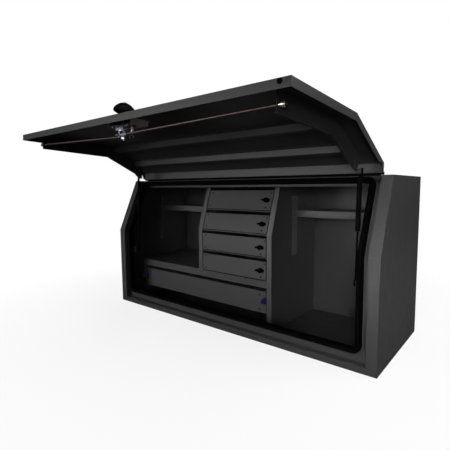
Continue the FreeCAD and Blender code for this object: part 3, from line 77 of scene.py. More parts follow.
def on_lid(x, y, z):
    """Row-frame position of a place drawn on the closed lid, with the lid open."""
    turned = Matrix.Rotation(LID_TURN, 3, "X") @ Vector((0, y - HINGE[0], z - HINGE[1]))
    return at(x, turned.y + HINGE[0], turned.z + HINGE[1])


# ---- Materials ---------------------------------------------------------------------------

# Scales of the noise that changes the tone and the gloss of a coat, and a metal's polish.
TONE_SCALE = 2.6
GLOSS_SCALE = 23
POLISH_SCALE = 420


def new_material(name):
    """Node material with its nodes, its links and its surface shader."""
    material = bpy.data.materials.new(name)
    material.use_nodes = True
    nodes = material.node_tree.nodes
    return material, nodes, material.node_tree.links, nodes["Principled BSDF"]


def noise(nodes, links, coords, scale, detail):
    """Noise value over the object's own coordinates."""
    node = nodes.new("ShaderNodeTexNoise")
    node.inputs["Scale"].default_value = scale
    node.inputs["Detail"].default_value = detail
    links.new(coords, node.inputs["Vector"])
    return node.outputs["Fac"]


def remap(nodes, links, value, low, high, start=0.3, end=0.7):
    """Takes start..end to low..high, held at both ends."""
    node = nodes.new("ShaderNodeMapRange")
    node.inputs["From Min"].default_value = start
    node.inputs["From Max"].default_value = end
    node.inputs["To Min"].default_value = low
    node.inputs["To Max"].default_value = high
    links.new(value, node.inputs["Value"])
    return node.outputs["Result"]


def tint(nodes, links, factor, dark, light):
    """Colour between dark and light."""
    node = nodes.new("ShaderNodeMix")
    node.data_type = "RGBA"
    node.inputs["A"].default_value = (*dark, 1)
    node.inputs["B"].default_value = (*light, 1)
    links.new(factor, node.inputs["Factor"])
    return node.outputs["Result"]


def bump(nodes, links, height, strength, distance):
    """Normal of a surface raised by height."""
    node = nodes.new("ShaderNodeBump")
    node.inputs["Strength"].default_value = strength
    node.inputs["Distance"].default_value = distance
    links.new(height, node.inputs["Height"])
    return node.outputs["Normal"]


def coated(name, dark, light, roughness, grain=1100, grain_height=0.00012, specular=0.5):
    """Powder coat or moulding: a slow change of tone, uneven gloss and a fine grained skin."""
    material, nodes, links, shader = new_material(name)
    coords = nodes.new("ShaderNodeTexCoord").outputs["Object"]
    slow = remap(nodes, links, noise(nodes, links, coords, TONE_SCALE, 4), 0, 1)
    links.new(tint(nodes, links, slow, dark, light), shader.inputs["Base Color"])
    patches = noise(nodes, links, coords, GLOSS_SCALE, 5)
    gloss = remap(nodes, links, patches, roughness - 0.02, roughness + 0.03)
    links.new(gloss, shader.inputs["Roughness"])
    skin = noise(nodes, links, coords, grain, 3)
    links.new(bump(nodes, links, skin, 0.35, grain_height), shader.inputs["Normal"])
    shader.inputs["Specular IOR Level"].default_value = specular
    return material


def plated(name, dark, light, roughness, scale=60):
    """Bright plated metal with clouded colour and uneven polish."""
    material, nodes, links, shader = new_material(name)
    coords = nodes.new("ShaderNodeTexCoord").outputs["Object"]
    cloud = remap(nodes, links, noise(nodes, links, coords, scale, 4), 0, 1)
    links.new(tint(nodes, links, cloud, dark, light), shader.inputs["Base Color"])
    fine = noise(nodes, links, coords, POLISH_SCALE, 3)
    polish = remap(nodes, links, fine, roughness * 0.7, roughness * 1.35)
    links.new(polish, shader.inputs["Roughness"])
    links.new(bump(nodes, links, fine, 0.2, 0.00008), shader.inputs["Normal"])
    shader.inputs["Metallic"].default_value = 1
    return material


def grey(level):
    """Colour without a hue."""
    return (level, level, level)


POWDER = coated("powder_coat", grey(0.031), grey(0.035), 0.42, specular=0.35)
DRAWER = coated("drawer_coat", grey(0.034), grey(0.038), 0.40, specular=0.35)
TRAY = coated("tray_coat", grey(0.026), grey(0.031), 0.45, specular=0.3)
RUBBER = coated("seal_rubber", grey(0.0005), grey(0.001), 0.65, 500, 0.0002, 0.02)
HANDLE = coated("handle_coat", grey(0.0008), grey(0.0014), 0.4, specular=0.03)
LATCH = coated("latch_moulding", grey(0.0004), grey(0.0008), 0.45, 700, specular=0.012)
PLATE = coated("backing_plate", (0.5, 0.42, 0.4), (0.62, 0.53, 0.51), 0.5, 60, specular=0.3)
ROD = plated("rod_zinc", (0.075, 0.062, 0.06), (0.12, 0.1, 0.097), 0.45, 45)
STRUT = coated("strut_paint", grey(0.0006), grey(0.0012), 0.5, 600, 0.00005, 0.02)
RIVET = coated("rivet_coat", grey(0.001), grey(0.002), 0.4, 900, specular=0.04)
# Painted shade: a darker copy of the black coat for the header rail, which sits in shade under
# the hinge.
RAIL_SHADE = coated("rail_shade_coat", grey(0.014), grey(0.018), 0.45, specular=0.25)
# Painted shade: a near-black copy of the black coat for the hinge, which lies in shade under the
# open lid.
HINGE_SHADE_COAT = coated("hinge_shade_coat", grey(0.002), grey(0.0035), 0.5, 700, specular=0.04)
LEVER = coated("lever_moulding", (0.008, 0.014, 0.10), (0.012, 0.02, 0.14), 0.35, 500)
ZINC = plated("zinc_plate", (0.42, 0.35, 0.34), (0.6, 0.51, 0.49), 0.45, 45)
PASSIVATED = plated("passivated_plate", (0.2, 0.195, 0.225), (0.46, 0.45, 0.5), 0.3, 90)
ROLLER = plated("roller_plate", (0.74, 0.70, 0.58), (0.9, 0.87, 0.78), 0.3, 80)
CHROME = plated("chrome_plate", (0.62, 0.62, 0.66), (0.85, 0.85, 0.86), 0.14)
STEEL = plated("slide_steel", (0.33, 0.34, 0.35), (0.5, 0.5, 0.51), 0.32)

SLOT_MATERIALS = {
    "powder_black": POWDER,
    "drawer_black": DRAWER,
    "tray_steel": TRAY,
    "seal_rubber": RUBBER,
    "handle_black": HANDLE,
    "latch_black": LATCH,
    "strut_black": STRUT,
    "ram_steel": STRUT,
    "lever_blue": LEVER,
    "zinc": ZINC,
    "chrome": PASSIVATED,
    "steel": STEEL,
}

# Nodes that look unlike the rest of their slot.
NODE_MATERIALS = {
    # Painted shade: the hinge's leaves and pin take the darker hinge coat.
    "hinge_roof_leaf": HINGE_SHADE_COAT,
    "hinge_lid_leaf": HINGE_SHADE_COAT,
    "hinge_pin": HINGE_SHADE_COAT,
    # Painted shade: the header rail takes the darker rail coat.
    "header_rail": RAIL_SHADE,
    "lock_backing_plate": PLATE,
    "left_lock_rod": ROD,
    "right_lock_rod": ROD,
}

# Gap and radius in millimetres, angles in degrees.
WELD_GAP = 0.01
FLAT_ANGLE = 0.5
FOLD_RADIUS = 0.7
FOLD_ANGLE = 40


def soften(obj, width, angle):
    """Rounds the edges that are sharper than angle, by a width in millimetres."""
    edge = obj.modifiers.new("edge", "BEVEL")
    edge.width = width / 1000
    edge.segments = 2
    edge.limit_method = "ANGLE"
    edge.angle_limit = math.radians(angle)
    shade = obj.modifiers.new("shade", "WEIGHTED_NORMAL")
    shade.keep_sharp = False


def dress_cad():
    """Gives every CAD node its material and softens its folded and cut edges.

    Flat faces are merged first. A bevel can close the holes in a merged face, so all but the
    plain drawer fronts are split again.
    """
    slots = {part["node"]: part["material_slot"] for part in frame["record"]["subparts"]}
    for name, obj in frame["nodes"].items():
        obj.data.materials.clear()
        obj.data.materials.append(NODE_MATERIALS.get(name, SLOT_MATERIALS[slots[name]]))
        weld = obj.modifiers.new("weld", "WELD")
        weld.merge_threshold = WELD_GAP / 1000
        flat = obj.modifiers.new("flat", "DECIMATE")
        flat.decimate_type = "DISSOLVE"
        flat.angle_limit = math.radians(FLAT_ANGLE)
        if not name.endswith("_front"):
            split = obj.modifiers.new("split", "TRIANGULATE")
            split.min_vertices = 5
            split.ngon_method = "CLIP"
        soften(obj, FOLD_RADIUS, FOLD_ANGLE)


dress_cad()


# ---- Piece builder -----------------------------------------------------------------------

LEAST_RADIUS = 0.02
PIECE_ANGLE = 35


class Shape:
    """Vertices and faces of one piece, drawn in millimetres through a placing function."""

    def __init__(self, place):
        self.place = place
        self.vertices = []
        self.faces = []

    def skin(self, rings, loop=False):
        """Skins over rings that all have the same number of points, and caps an open run."""
        count = len(rings[0])
        first = len(self.vertices)
        for ring in rings:
            self.vertices += [tuple(self.place(*point)) for point in ring]
        spans = len(rings) if loop else len(rings) - 1
        for k in range(spans):
            a = first + k * count
            b = first + (k + 1) % len(rings) * count
            for i in range(count):
                j = (i + 1) % count
                self.faces.append((a + i, a + j, b + j, b + i))
        if not loop:
            last = first + (len(rings) - 1) * count
            self.faces.append(tuple(range(first, first + count))[::-1])
            self.faces.append(tuple(range(last, last + count)))

    def turned(self, centre, axis, profile, segments=20):
        """Turns a profile of (radius, height along the axis) about an axis through centre."""
        centre = Vector(centre)
        axis = Vector(axis).normalized()
        side = axis.orthogonal().normalized()
        other = axis.cross(side)
        rings = []
        for radius, height in profile:
            ring = []
            for i in range(segments):
                angle = 2 * math.pi * (i + 0.5) / segments
                spoke = side * math.cos(angle) + other * math.sin(angle)
                ring.append(centre + axis * height + spoke * max(radius, LEAST_RADIUS))
            rings.append(ring)
        self.skin(rings)

    def dome(self, centre, axis, radius, height):
        """Low domed head of a rivet or screw."""
        profile = [(radius, -0.3), (radius, height * 0.35), (radius * 0.8, height * 0.75)]
        self.turned(centre, axis, profile + [(radius * 0.45, height * 0.96), (0, height)], 14)

    def nut(self, centre, axis, radius, height):
        """Hexagon with chamfered corners; radius is across its corners."""
        profile = [(radius * 0.93, 0), (radius, 0.8), (radius, height - 0.8)]
        self.turned(centre, axis, profile + [(radius * 0.9, height)], 6)

    def block(self, low, high):
        """Straight-sided block between two corners."""
        (x0, y0, z0), (x1, y1, z1) = low, high
        outline = [(x0, y0), (x1, y0), (x1, y1), (x0, y1)]
        self.skin([[(x, y, z) for x, y in outline] for z in (z0, z1)])

    def tube(self, path, radius):
        """Round tube along a path of points."""
        path = [Vector(point) for point in path]
        turns = [math.pi * k / 4 for k in range(8)]
        rings = []
        side = None
        for i, point in enumerate(path):
            ahead = path[min(i + 1, len(path) - 1)]
            behind = path[max(i - 1, 0)]
            along = (ahead - behind).normalized()
            if side is None:
                side = along.orthogonal().normalized()
            side = (side - along * side.dot(along)).normalized()
            other = along.cross(side)
            spokes = [side * math.cos(a) + other * math.sin(a) for a in turns]
            rings.append([point + spoke * radius for spoke in spokes])
        self.skin(rings)

    def make(self, name, material, body, slot, replaces=(), bevel=0.0, smooth=38):
        """Makes the piece: it rides on a body and may stand in for the CAD nodes it replaces."""
        mesh = bpy.data.meshes.new(name)
        mesh.from_pydata(self.vertices, [], self.faces)
        work = bmesh.new()
        work.from_mesh(mesh)
        bmesh.ops.recalc_face_normals(work, faces=work.faces)
        work.to_mesh(mesh)
        work.free()
        mesh.shade_smooth()
        mesh.set_sharp_from_angle(angle=math.radians(smooth))
        mesh.materials.append(material)
        piece = bpy.data.objects.new(name, mesh)
        bpy.context.scene.collection.objects.link(piece)
        if bevel:
            soften(piece, bevel, PIECE_ANGLE)
        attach(piece, body)
        if replaces:
            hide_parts(*replaces)


# ---- Door seal ---------------------------------------------------------------------------

SEAL_REACH = 764
SEAL_LOW = 80
SEAL_TOP = 784
SEAL_BEND = 22
SEAL_DEPTH = 18.5
SEAL_TOP_DEPTH = 22.9
SEAL_HALF = 12
SEAL_BASE = -1.5
SEAL_BULB = 14
SEAL_TOP_WIDTH = 0.83
SEAL_TOP_THICKNESS = 0.55
BEND_STEPS = 8
KNEE_BEND_LOW = KNEE - 14
KNEE_BEND = 20


def seal_stations():
    """Half of the seal's centre line, from the middle of the bottom to the middle of the top.

    Each station gives its place across, its height and depth, the angle of the outward
    direction, and the scale of the section's width and thickness.
    """
    bottom = [(x, SEAL_LOW, SEAL_DEPTH, -90, 1, 1) for x in (0, 350, SEAL_REACH - SEAL_BEND)]
    low_bend = []
    top_bend = []
    for step in range(1, BEND_STEPS + 1):
        share = step / BEND_STEPS
        angle = 90 * share
        across, along = math.cos(math.radians(angle)), math.sin(math.radians(angle))
        reach = SEAL_REACH - SEAL_BEND + SEAL_BEND * along
        rise = SEAL_LOW + SEAL_BEND * (1 - across)
        low_bend.append((reach, rise, SEAL_DEPTH, angle - 90, 1, 1))
        reach = SEAL_REACH - SEAL_BEND + SEAL_BEND * across
        rise = SEAL_TOP - SEAL_BEND + SEAL_BEND * along
        depth = SEAL_DEPTH + (SEAL_TOP_DEPTH - SEAL_DEPTH) * share
        width = 1 - (1 - SEAL_TOP_WIDTH) * share
        thickness = 1 - (1 - SEAL_TOP_THICKNESS) * share
        top_bend.append((reach, rise, depth, angle, width, thickness))
    middle = KNEE_BEND_LOW + KNEE_BEND / 2
    heights = [200, 340] + [middle + offset for offset in (-14, -7, 0, 7, 14)]
    heights += [600, 700, SEAL_TOP - SEAL_BEND]
    side = [(SEAL_REACH, z, SEAL_DEPTH, 0, 1, 1) for z in heights]
    top = [
        (x, SEAL_TOP, SEAL_TOP_DEPTH, 90, SEAL_TOP_WIDTH, SEAL_TOP_THICKNESS) for x in (350, 0)
    ]
    return bottom + low_bend + side + top_bend + top


def seal_profile():
    """Section of the seal as (outward, depth): a grip with a groove and a round bulb."""
    grip = [(-SEAL_HALF, 15.5), (-SEAL_HALF, 4), (-10.8, 2.4), (-10.8, 0.4)]
    grip.append((-SEAL_HALF, SEAL_BASE))
    bulb = []
    for step in range(1, 12):
        angle = math.radians(180 - 15 * step)
        bulb.append((SEAL_HALF * math.cos(angle), SEAL_BASE - SEAL_BULB * math.sin(angle)))
    return grip + bulb + [(-u, v) for u, v in reversed(grip)]


def front_lean(z):
    """How far the front plane leans at a height, going over smoothly at the knee."""
    share = (z - KNEE_BEND_LOW) / KNEE_BEND
    return LEAN * min(max(share, 0), 1)


def make_seal():
    """Seal round the door opening, over the bend of the front at the knee."""
    shape = Shape(at)
    half = seal_stations()
    mirrored = [(-x, z, d, 180 - a, w, t) for x, z, d, a, w, t in half[-2:0:-1]]
    rings = []
    for x, z, depth, angle, wide, thick in half + mirrored:
        lean = front_lean(z)
        up = Vector((0, math.sin(lean), math.cos(lean)))
        inward = Vector((0, math.cos(lean), -math.sin(lean)))
        turn = math.radians(angle)
        outward = Vector((1, 0, 0)) * math.cos(turn) + up * math.sin(turn)
        plane = max(z - KNEE, 0) * math.tan(LEAN)
        stretch = 1 / math.cos(LEAN) if z > KNEE else 1
        centre = Vector((x, plane + depth * stretch, z))
        section = [centre + outward * u * wide + inward * v * thick for u, v in seal_profile()]
        rings.append(section)
    shape.skin(rings, loop=True)
    shape.make("bulb_seal", RUBBER, "cabinet", "seal_rubber", ["door_seal"], smooth=50)


# ---- Handle and lid lock -----------------------------------------------------------------

LOCK_X = -35
LOCK_Z = 121
TAIL_HALF = 49
TAIL_WIDTH = 16.3
TAIL_TAPER = 0.24
TAIL_EDGE = 40
TAIL_CROWN = 32.3
TAIL_UNDER = 20
TAIL_NECK = 14
TAIL_WING = 12
PLATE_FACE = 20
SPRING_STEPS = 14
PIN_REACH = 14.14
YOKE_DROP = 17.07
ROD_DEPTH = 60
ROD_TIP = (744, 46, 105)


def at_lock(dx, depth, dz):
    """Place in the lid's drawing, measured from the lock's axis."""
    return (LOCK_X + dx, depth, LOCK_Z + dz)


def whale_tail():
    """Rings of the handle along its length: a domed crown over wings that slope to the neck."""
    places = (0, 6, 11, 17, 24, 31, 38, 43, 46.5, 48.6)
    ends = {43: 0.97, 46.5: 0.84, 48.6: 0.5}
    rings = []
    for sign in (-1, 1):
        for place in places[::-1] if sign < 0 else places[1:]:
            share = place / TAIL_HALF
            closing = ends.get(place, 1)
            crown = TAIL_EDGE + TAIL_CROWN * (1 - share ** 2) ** 0.72
            wing = max(place - TAIL_NECK, 0)
            under = TAIL_UNDER + TAIL_WING * wing / (TAIL_HALF - TAIL_NECK)
            half = TAIL_WIDTH * (1 - TAIL_TAPER * share ** 2) * closing
            middle = (crown + under) / 2
            rise = (crown - under) / 2 * closing ** 0.7
            ring = []
            for step in range(24):
                angle = math.radians(15 * step)
                c, s = math.cos(angle), math.sin(angle)
                power = 0.75 if s > 0 else 0.5
                across = half * math.copysign(abs(c) ** power, c)
                out = middle + rise * math.copysign(abs(s) ** power, s)
                ring.append(at_lock(across, -out, sign * place))
            rings.append(ring)
    return rings


def make_handle():
    """Handle outside the lid, and the key barrel in its crown."""
    shape = Shape(on_lid)
    shape.skin(whale_tail())
    neck = [(17, 5.2), (18, 6), (17.2, 9), (14.6, 14), (13.8, 18), (15, 24), (15.5, 30)]
    shape.turned(at_lock(0, 0, 0), OUTWARD, neck, 32)
    shape.make("whale_tail", HANDLE, "lock_handle", "handle_black", ["lid_handle"], smooth=60)
    barrel = Shape(on_lid)
    face = [(7.6, 66), (7.6, 72), (7, 72.7), (5.6, 72.7), (5.4, 72.2)]
    barrel.turned(at_lock(0, 0, 0), OUTWARD, face, 24)
    barrel.block(at_lock(-0.7, -72.6, -3.6), at_lock(0.7, -71, 3.6))
    barrel.make("key_barrel", CHROME, "lock_handle", "chrome")


def coil(start, end, radius, turns):
    """Centre line of a spring wound about the lock's axis."""
    steps = int(turns * SPRING_STEPS)
    path = []
    for i in range(steps + 1):
        angle = 2 * math.pi * i / SPRING_STEPS
        depth = start + (end - start) * i / steps
        path.append(at_lock(radius * math.cos(angle), depth, radius * math.sin(angle)))
    return path


def make_cam_fittings():
    """Nut, washer, pin heads and spring of the lock's cam."""
    cam = Shape(on_lid)
    washer = [(14.5, 0), (15, 0.3), (15, 1.4), (14.5, 1.7)]
    cam.turned(at_lock(0, 66.2, 0), INWARD, washer, 28)
    cam.nut(at_lock(0, 67.4, 0), INWARD, 13.2, 8.2)
    pin_head = [(5.2, 0.6), (5.2, 1.4), (4.4, 1.6), (4.4, 3.2), (3.4, 3.8)]
    for side in (1, -1):
        pin = at_lock(-side * PIN_REACH, 62.6, -side * PIN_REACH)
        cam.turned(pin, INWARD, pin_head, 16)
    cam.make("cam_fittings", PASSIVATED, "lock_handle", "chrome", bevel=0.3)
    spring = Shape(on_lid)
    spring.tube(coil(start=46.2, end=55.2, radius=7.8, turns=4.5), 1)
    spring.make("cam_spring", STEEL, "lock_handle", "steel")


def make_lock_body_fittings():
    """Screws and cheeks of the lock's body, the rod's saddle and the plate's screws."""
    housing = Shape(on_lid)
    screw = [(6, 20), (6, 20.4), (5.6, 20.9)]
    for dx in (-21, 21):
        for dz in (-19, 19):
            housing.turned(at_lock(dx, PLATE_FACE, dz), INWARD, screw, 18)
    boss = [(20, 3), (20, 4.4), (19.4, 4.9), (8, 4.9)]
    housing.turned(at_lock(0, 36, 0), INWARD, boss, 32)
    for near, far in ((-31, -25.8), (25.8, 31)):
        housing.block(at_lock(near, 22, -9), at_lock(far, 37, 9))
    housing.make("lock_body_fittings", PASSIVATED, "lid", "chrome", bevel=0.4)
    saddle = Shape(on_lid)
    saddle.block(at_lock(31.5, 22, -27), at_lock(61, 30, 13))
    for cheek in (34, 53):
        saddle.block(at_lock(cheek, 30, 1), at_lock(cheek + 3.5, 71, 11))
    post = [(6.5, 8), (7, 9), (7, 40), (6, 42), (3, 42.6)]
    saddle.turned(at_lock(45, 22, 6), INWARD, post, 20)
    saddle.make("rod_saddle", PASSIVATED, "lid", "chrome", bevel=0.5)
    plate = Shape(on_lid)
    washer = [(8, 0), (8, 0.8), (7.6, 1.2)]
    for dx in (-62, 62):
        for dz in (-12, 48):
            plate.turned(at_lock(dx, PLATE_FACE, dz), INWARD, washer, 24)
            plate.nut(at_lock(dx, PLATE_FACE + 1, dz), INWARD, 6.2, 4.4)
    plate.make("plate_screws", ZINC, "lid", "zinc", bevel=0.2)


def make_rod_ends():
    """Roller on the end of each lock rod, locknut by its yoke, and the right rod's adjuster."""
    roller = [(5.4, -29), (6.2, -28), (6.2, -18), (7.4, -17.4), (9.2, -16.2)]
    roller += [(9.5, -13), (9.5, -5), (9, -2), (7.4, -0.4), (4.5, 0)]
    collar = [(6, 0), (7.6, 0.6), (7.6, 7), (6, 7.6)]
    ring = [(6.4, 52), (8.4, 52.6), (8.4, 58), (6.4, 58.6)]
    for side, name in SIDES:
        yoke = Vector(at_lock(-side * PIN_REACH, ROD_DEPTH, -side * YOKE_DROP))
        tip = Vector((side * ROD_TIP[0], ROD_TIP[1], ROD_TIP[2]))
        along = (tip - yoke).normalized()
        end = Shape(on_lid)
        end.turned(tip, along, roller, 24)
        end.make(f"{name}_rod_roller", ROLLER, f"{name}_rod", "zinc")
        locknut = Shape(on_lid)
        locknut.turned(yoke + along * 12, along, collar, 18)
        locknut.nut(yoke + along * 20, along, 7.8, 5)
        locknut.make(f"{name}_rod_locknut", PASSIVATED, f"{name}_rod", "chrome", bevel=0.3)
        if side > 0:
            adjuster = Shape(on_lid)
            adjuster.nut(yoke + along * 27, along, 9.4, 26)
            adjuster.turned(yoke, along, ring, 20)
            adjuster.make("right_rod_adjuster", PASSIVATED, "right_rod", "chrome", bevel=0.4)


# ---- Drawer fittings ---------------------------------------------------------------------

BANK_FACE = 130
BANK_KNEE = 506
BANK_SETBACK = 95
BANK_LEAN = math.atan2(BANK_SETBACK, HEIGHT - BANK_KNEE)
BANK_MIDDLE = 10.5
FRONT_HALF = 228
LATCH_X = 213
RIVET_INSET = 12

# Lower and upper edge of each small drawer's front, and whether it leans.
DRAWERS = {
    "first": (633, 735, True),
    "second": (515, 606, True),
    "third": (395, 488, False),
    "fourth": (272, 368, False),
}


def on_front(x, z, leaning):
    """Placing function with X across a drawer's face, Y into it and Z up it, about a point."""
    lean = BANK_LEAN if leaning else 0
    y = BANK_FACE + (max(z - BANK_KNEE, 0) * math.tan(BANK_LEAN) if leaning else 0)

    def place(u, depth, v):
        return at(
            x + u,
            y + depth * math.cos(lean) + v * math.sin(lean),
            z + v * math.cos(lean) - depth * math.sin(lean),
        )

    return place


def drop_outline(scale, depth):
    """Ring round the latch's knob: a nose over the pivot, a round body and a tail beside it."""
    upper = [(6, 0), (5.6, 2.6), (3.4, 5), (-1.5, 8.6), (-6, 12), (-10.5, 13.8), (-15, 13.6)]
    upper += [(-19.5, 11.6), (-24, 8.6), (-29, 6), (-36, 4.6), (-42, 3.6), (-44.6, 2)]
    ring = upper + [(-45.2, 0)] + [(u, -v) for u, v in upper[:0:-1]]
    middle = -14
    return [(middle + (u - middle) * scale, depth, v * scale) for u, v in ring]


def make_latches():
    """Drop-shaped knob with its spindle and tongue, over a collar on the front."""
    layers = [(0.98, -0.15), (1, -1), (1, -8.5), (0.97, -11)]
    layers += [(0.9, -13), (0.8, -13.9), (0.62, -13.5), (0.5, -12.6)]
    for place, (low, high, leaning) in DRAWERS.items():
        frame_of_face = on_front(LATCH_X, (low + high) / 2, leaning)
        knob = Shape(frame_of_face)
        knob.skin([drop_outline(scale, depth) for scale, depth in layers])
        knob.turned((0, 0, 0), INWARD, [(4.6, -1), (4.6, 19), (4.2, 19.3)], 18)
        knob.block((-4.4, 17.4, -4.4), (4.4, 18.8, 33))
        knob.make(
            f"{place}_latch_knob",
            LATCH,
            f"{place}_latch",
            "latch_black",
            replaces=[f"{place}_drawer_latch"],
            bevel=0.5,
            smooth=30,
        )
        collar = Shape(frame_of_face)
        rim = [(9.5, -0.2), (9.5, 0.5), (8.8, 0.9), (5.4, 0.9)]
        collar.turned((0, 0, 0), OUTWARD, rim, 32)
        collar.make(f"{place}_latch_collar", LATCH, f"{place}_drawer", "latch_black")


def make_gap_shade_strips():
    """Painted gap shade: black strips under the drawers' fronts and on the wide front's top
    edge.
    """
    for place, (low, _, leaning) in DRAWERS.items():
        # Painted shade: a black strip under each front stands in for the shadowed gap below it.
        strip = Shape(on_front(BANK_MIDDLE, low, leaning))
        strip.block((-FRONT_HALF, -0.35, -4.6), (FRONT_HALF, 0.6, -0.3))
        strip.make(f"{place}_gap_shade_strip", LATCH, "cabinet", "seal_rubber")
    # Painted shade: a black band along the wide front's top edge stands in for the gap above it.
    (left, _, _), (right, _, top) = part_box("wide_drawer_front")
    low_corner = (1000 * left + 1, BANK_FACE - 0.5, 1000 * top - 9.5)
    high_corner = (1000 * right - 1, BANK_FACE + 0.4, 1000 * top - 0.2)
    top_gap_shade = Shape(at)
    top_gap_shade.block(low_corner, high_corner)
    top_gap_shade.make("wide_front_gap_shade", LATCH, "wide_drawer", "latch_black")


def make_drawer_rivets():
    """Rivets near the corners of the fronts, and the bright stud on the third one."""
    for place, (low, high, leaning) in DRAWERS.items():
        shape = Shape(on_front(0, (low + high) / 2, leaning))
        reach = (high - low) / 2 - RIVET_INSET
        for u, v in ((-192, -reach), (201, -reach), (-192, reach), (224, reach)):
            shape.dome((u, 0, v), OUTWARD, 4.6, 1.7)
        shape.make(f"{place}_front_rivets", RIVET, f"{place}_drawer", "latch_black")
    stud = Shape(on_front(-204, 482, False))
    stud.dome((0, 0, 0), OUTWARD, 3.4, 2.6)
    stud.make("third_front_stud", CHROME, "third_drawer", "chrome")
    wide = Shape(at)
    for x in (-705, 194):
        for z in (190, 111):
            wide.dome((x, BANK_FACE, z), OUTWARD, 4.8, 2)
    wide.make("wide_front_rivets", RIVET, "wide_drawer", "latch_black")


# ---- Struts, hinge and shell fittings ----------------------------------------------------

# The strut at rest: its lower stud, its tilt and the distance between its studs.
STRUT_X = 733
STRUT_FOOT = (57, 350)
STRUT_TILT = math.radians(2.9253)
STRUT_LENGTH = 472.598
CYLINDER_LENGTH = 220
HEAD_SOCKET = 32
SHELF_LIP = 332.5
RIB_STARTS = (14, 188)
RIB_EDGES = (-6, 36)
RIB_FACE = 3


def on_strut(side):
    """Placing function with Z along the strut from its lower stud."""

    def place(x, y, z):
        turned_y = y * math.cos(STRUT_TILT) + z * math.sin(STRUT_TILT)
        turned_z = z * math.cos(STRUT_TILT) - y * math.sin(STRUT_TILT)
        return at(side * STRUT_X + x, STRUT_FOOT[0] + turned_y, STRUT_FOOT[1] + turned_z)

    return place


def make_strut_fittings():
    """Caps on each strut's cylinder, and the ball socket with its clip on the ram."""
    top = STRUT_LENGTH - HEAD_SOCKET
    foot = top - CYLINDER_LENGTH
    lower_cap = [(6, -1.5), (8.6, -1), (9.5, 0.6), (9.5, 12), (9.1, 13)]
    upper_cap = [(9.1, -9), (9.5, -8), (9.5, -1), (8, 1), (4.6, 1.4), (4.6, 6), (3, 6.6)]
    shank = [(5, 7), (6, 8), (6, 17), (4.6, 19)]
    ball_cup = [(7, -6), (9.3, -5.2), (9.6, 0), (9.3, 5.2), (7, 5.9)]
    clip = [(4.6 * c, 7.4 * s, 0) for c, s in ((1.25, 0), (1.25, 1), (0.4, 1.33), (-0.8, 1.33))]
    for side, name in SIDES:
        sleeve = Shape(on_strut(side))
        sleeve.turned((0, 0, foot), UPWARD, lower_cap, 24)
        sleeve.turned((0, 0, top), UPWARD, upper_cap, 24)
        sleeve.make(f"{name}_cylinder_caps", STRUT, f"{name}_cylinder", "strut_black")
        socket = Shape(on_strut(side))
        socket.turned((0, 0, 0), UPWARD, shank, 20)
        socket.turned((0, 0, 0), (1, 0, 0), ball_cup, 24)
        socket.tube(clip, 0.7)
        socket.make(f"{name}_ram_socket", STRUT, f"{name}_ram", "strut_black")


def make_hinge_rivets():
    """Rivets along both leaves of the hinge."""
    roof, lid = Shape(at), Shape(on_lid)
    for x in range(-715, 716, 130):
        roof.dome((x, HINGE[0] + 16.5, 802), UPWARD, 4, 2)
        lid.dome((x, HINGE[0] - 16.5, 802), UPWARD, 4, 2)
    roof.make("roof_hinge_rivets", RIVET, "cabinet", "powder_black")
    lid.make("lid_hinge_rivets", RIVET, "lid", "powder_black")


def make_hinge_caps():
    """Cap on each end of the hinge's pin."""
    end = [(5, 0), (6.5, 0.6), (6.5, 16.5), (5.6, 18), (2, 18.4)]
    caps = Shape(at)
    for side, _ in SIDES:
        caps.turned((side * HINGE_REACH, *HINGE), (side, 0, 0), end, 24)
    # The caps take the hinge's painted-shade coat.
    caps.make("hinge_end_caps", HINGE_SHADE_COAT, "cabinet", "powder_black", smooth=40)


def make_seams_and_strips():
    """Weld seams over the knees, and black strips of painted shade on the roof's edge and the
    header.
    """
    seams = Shape(at)
    for side, _ in SIDES:
        beads = range(12)
        run = [(804 + 4 * i, -0.1 + 0.12 * (i % 2), KNEE + 0.25 * (i % 3)) for i in beads]
        seams.tube([(side * x, y, z) for x, y, z in run], 0.9)
        seams.tube([(side * 803.5, y, KNEE - 0.1 * y) for y in range(2, 34, 4)], 0.8)
    seams.make("knee_weld_seams", POWDER, "cabinet", "powder_black", smooth=60)
    # Painted shade: black strips on the roof's front edge and the header rail's face stand in
    # for shade there.
    shade_strips = Shape(at)
    shade_strips.block((-776, 187.0, 789.5), (776, 188.4, 799.6))
    shade_strips.block((-751, 147.6, 765), (751, 148.5, 777))
    shade_strips.make("header_shade_strip", RUBBER, "cabinet", "seal_rubber", bevel=0.3)


def make_shell_rivets():
    """Screws of the strut feet, and rivets of the shelves, their brackets and the platform."""
    screws = Shape(at)
    for side, _ in SIDES:
        for dz in (-11, 11):
            screws.nut((side * 764, 39, STRUT_FOOT[1] + dz), INWARD, 5.2, 3.6)
    for left, right in ((-SHEET_INSIDE, BAY_LEFT_END), (BAY_RIGHT_START, SHEET_INSIDE)):
        for x in (left + 16, right - 16):
            for z in (601, 618):
                screws.dome((x, SHELF_LIP, z), OUTWARD, 3, 1.4)
    walls = ((-SHEET_INSIDE, 1), (BAY_LEFT_END, -1), (BAY_RIGHT_START, 1), (SHEET_INSIDE, -1))
    for wall, side in walls:
        for z in (388, 697):
            for y in (350, 440, 528):
                screws.dome((wall + side * BRACKET_DEPTH, y, z), (side, 0, 0), 3, 1.4)
    for x in range(-700, 101, 200):
        screws.dome((x, BANK_FACE, 262), OUTWARD, 3, 1.3)
    screws.make("shell_rivets", RIVET, "cabinet", "powder_black")


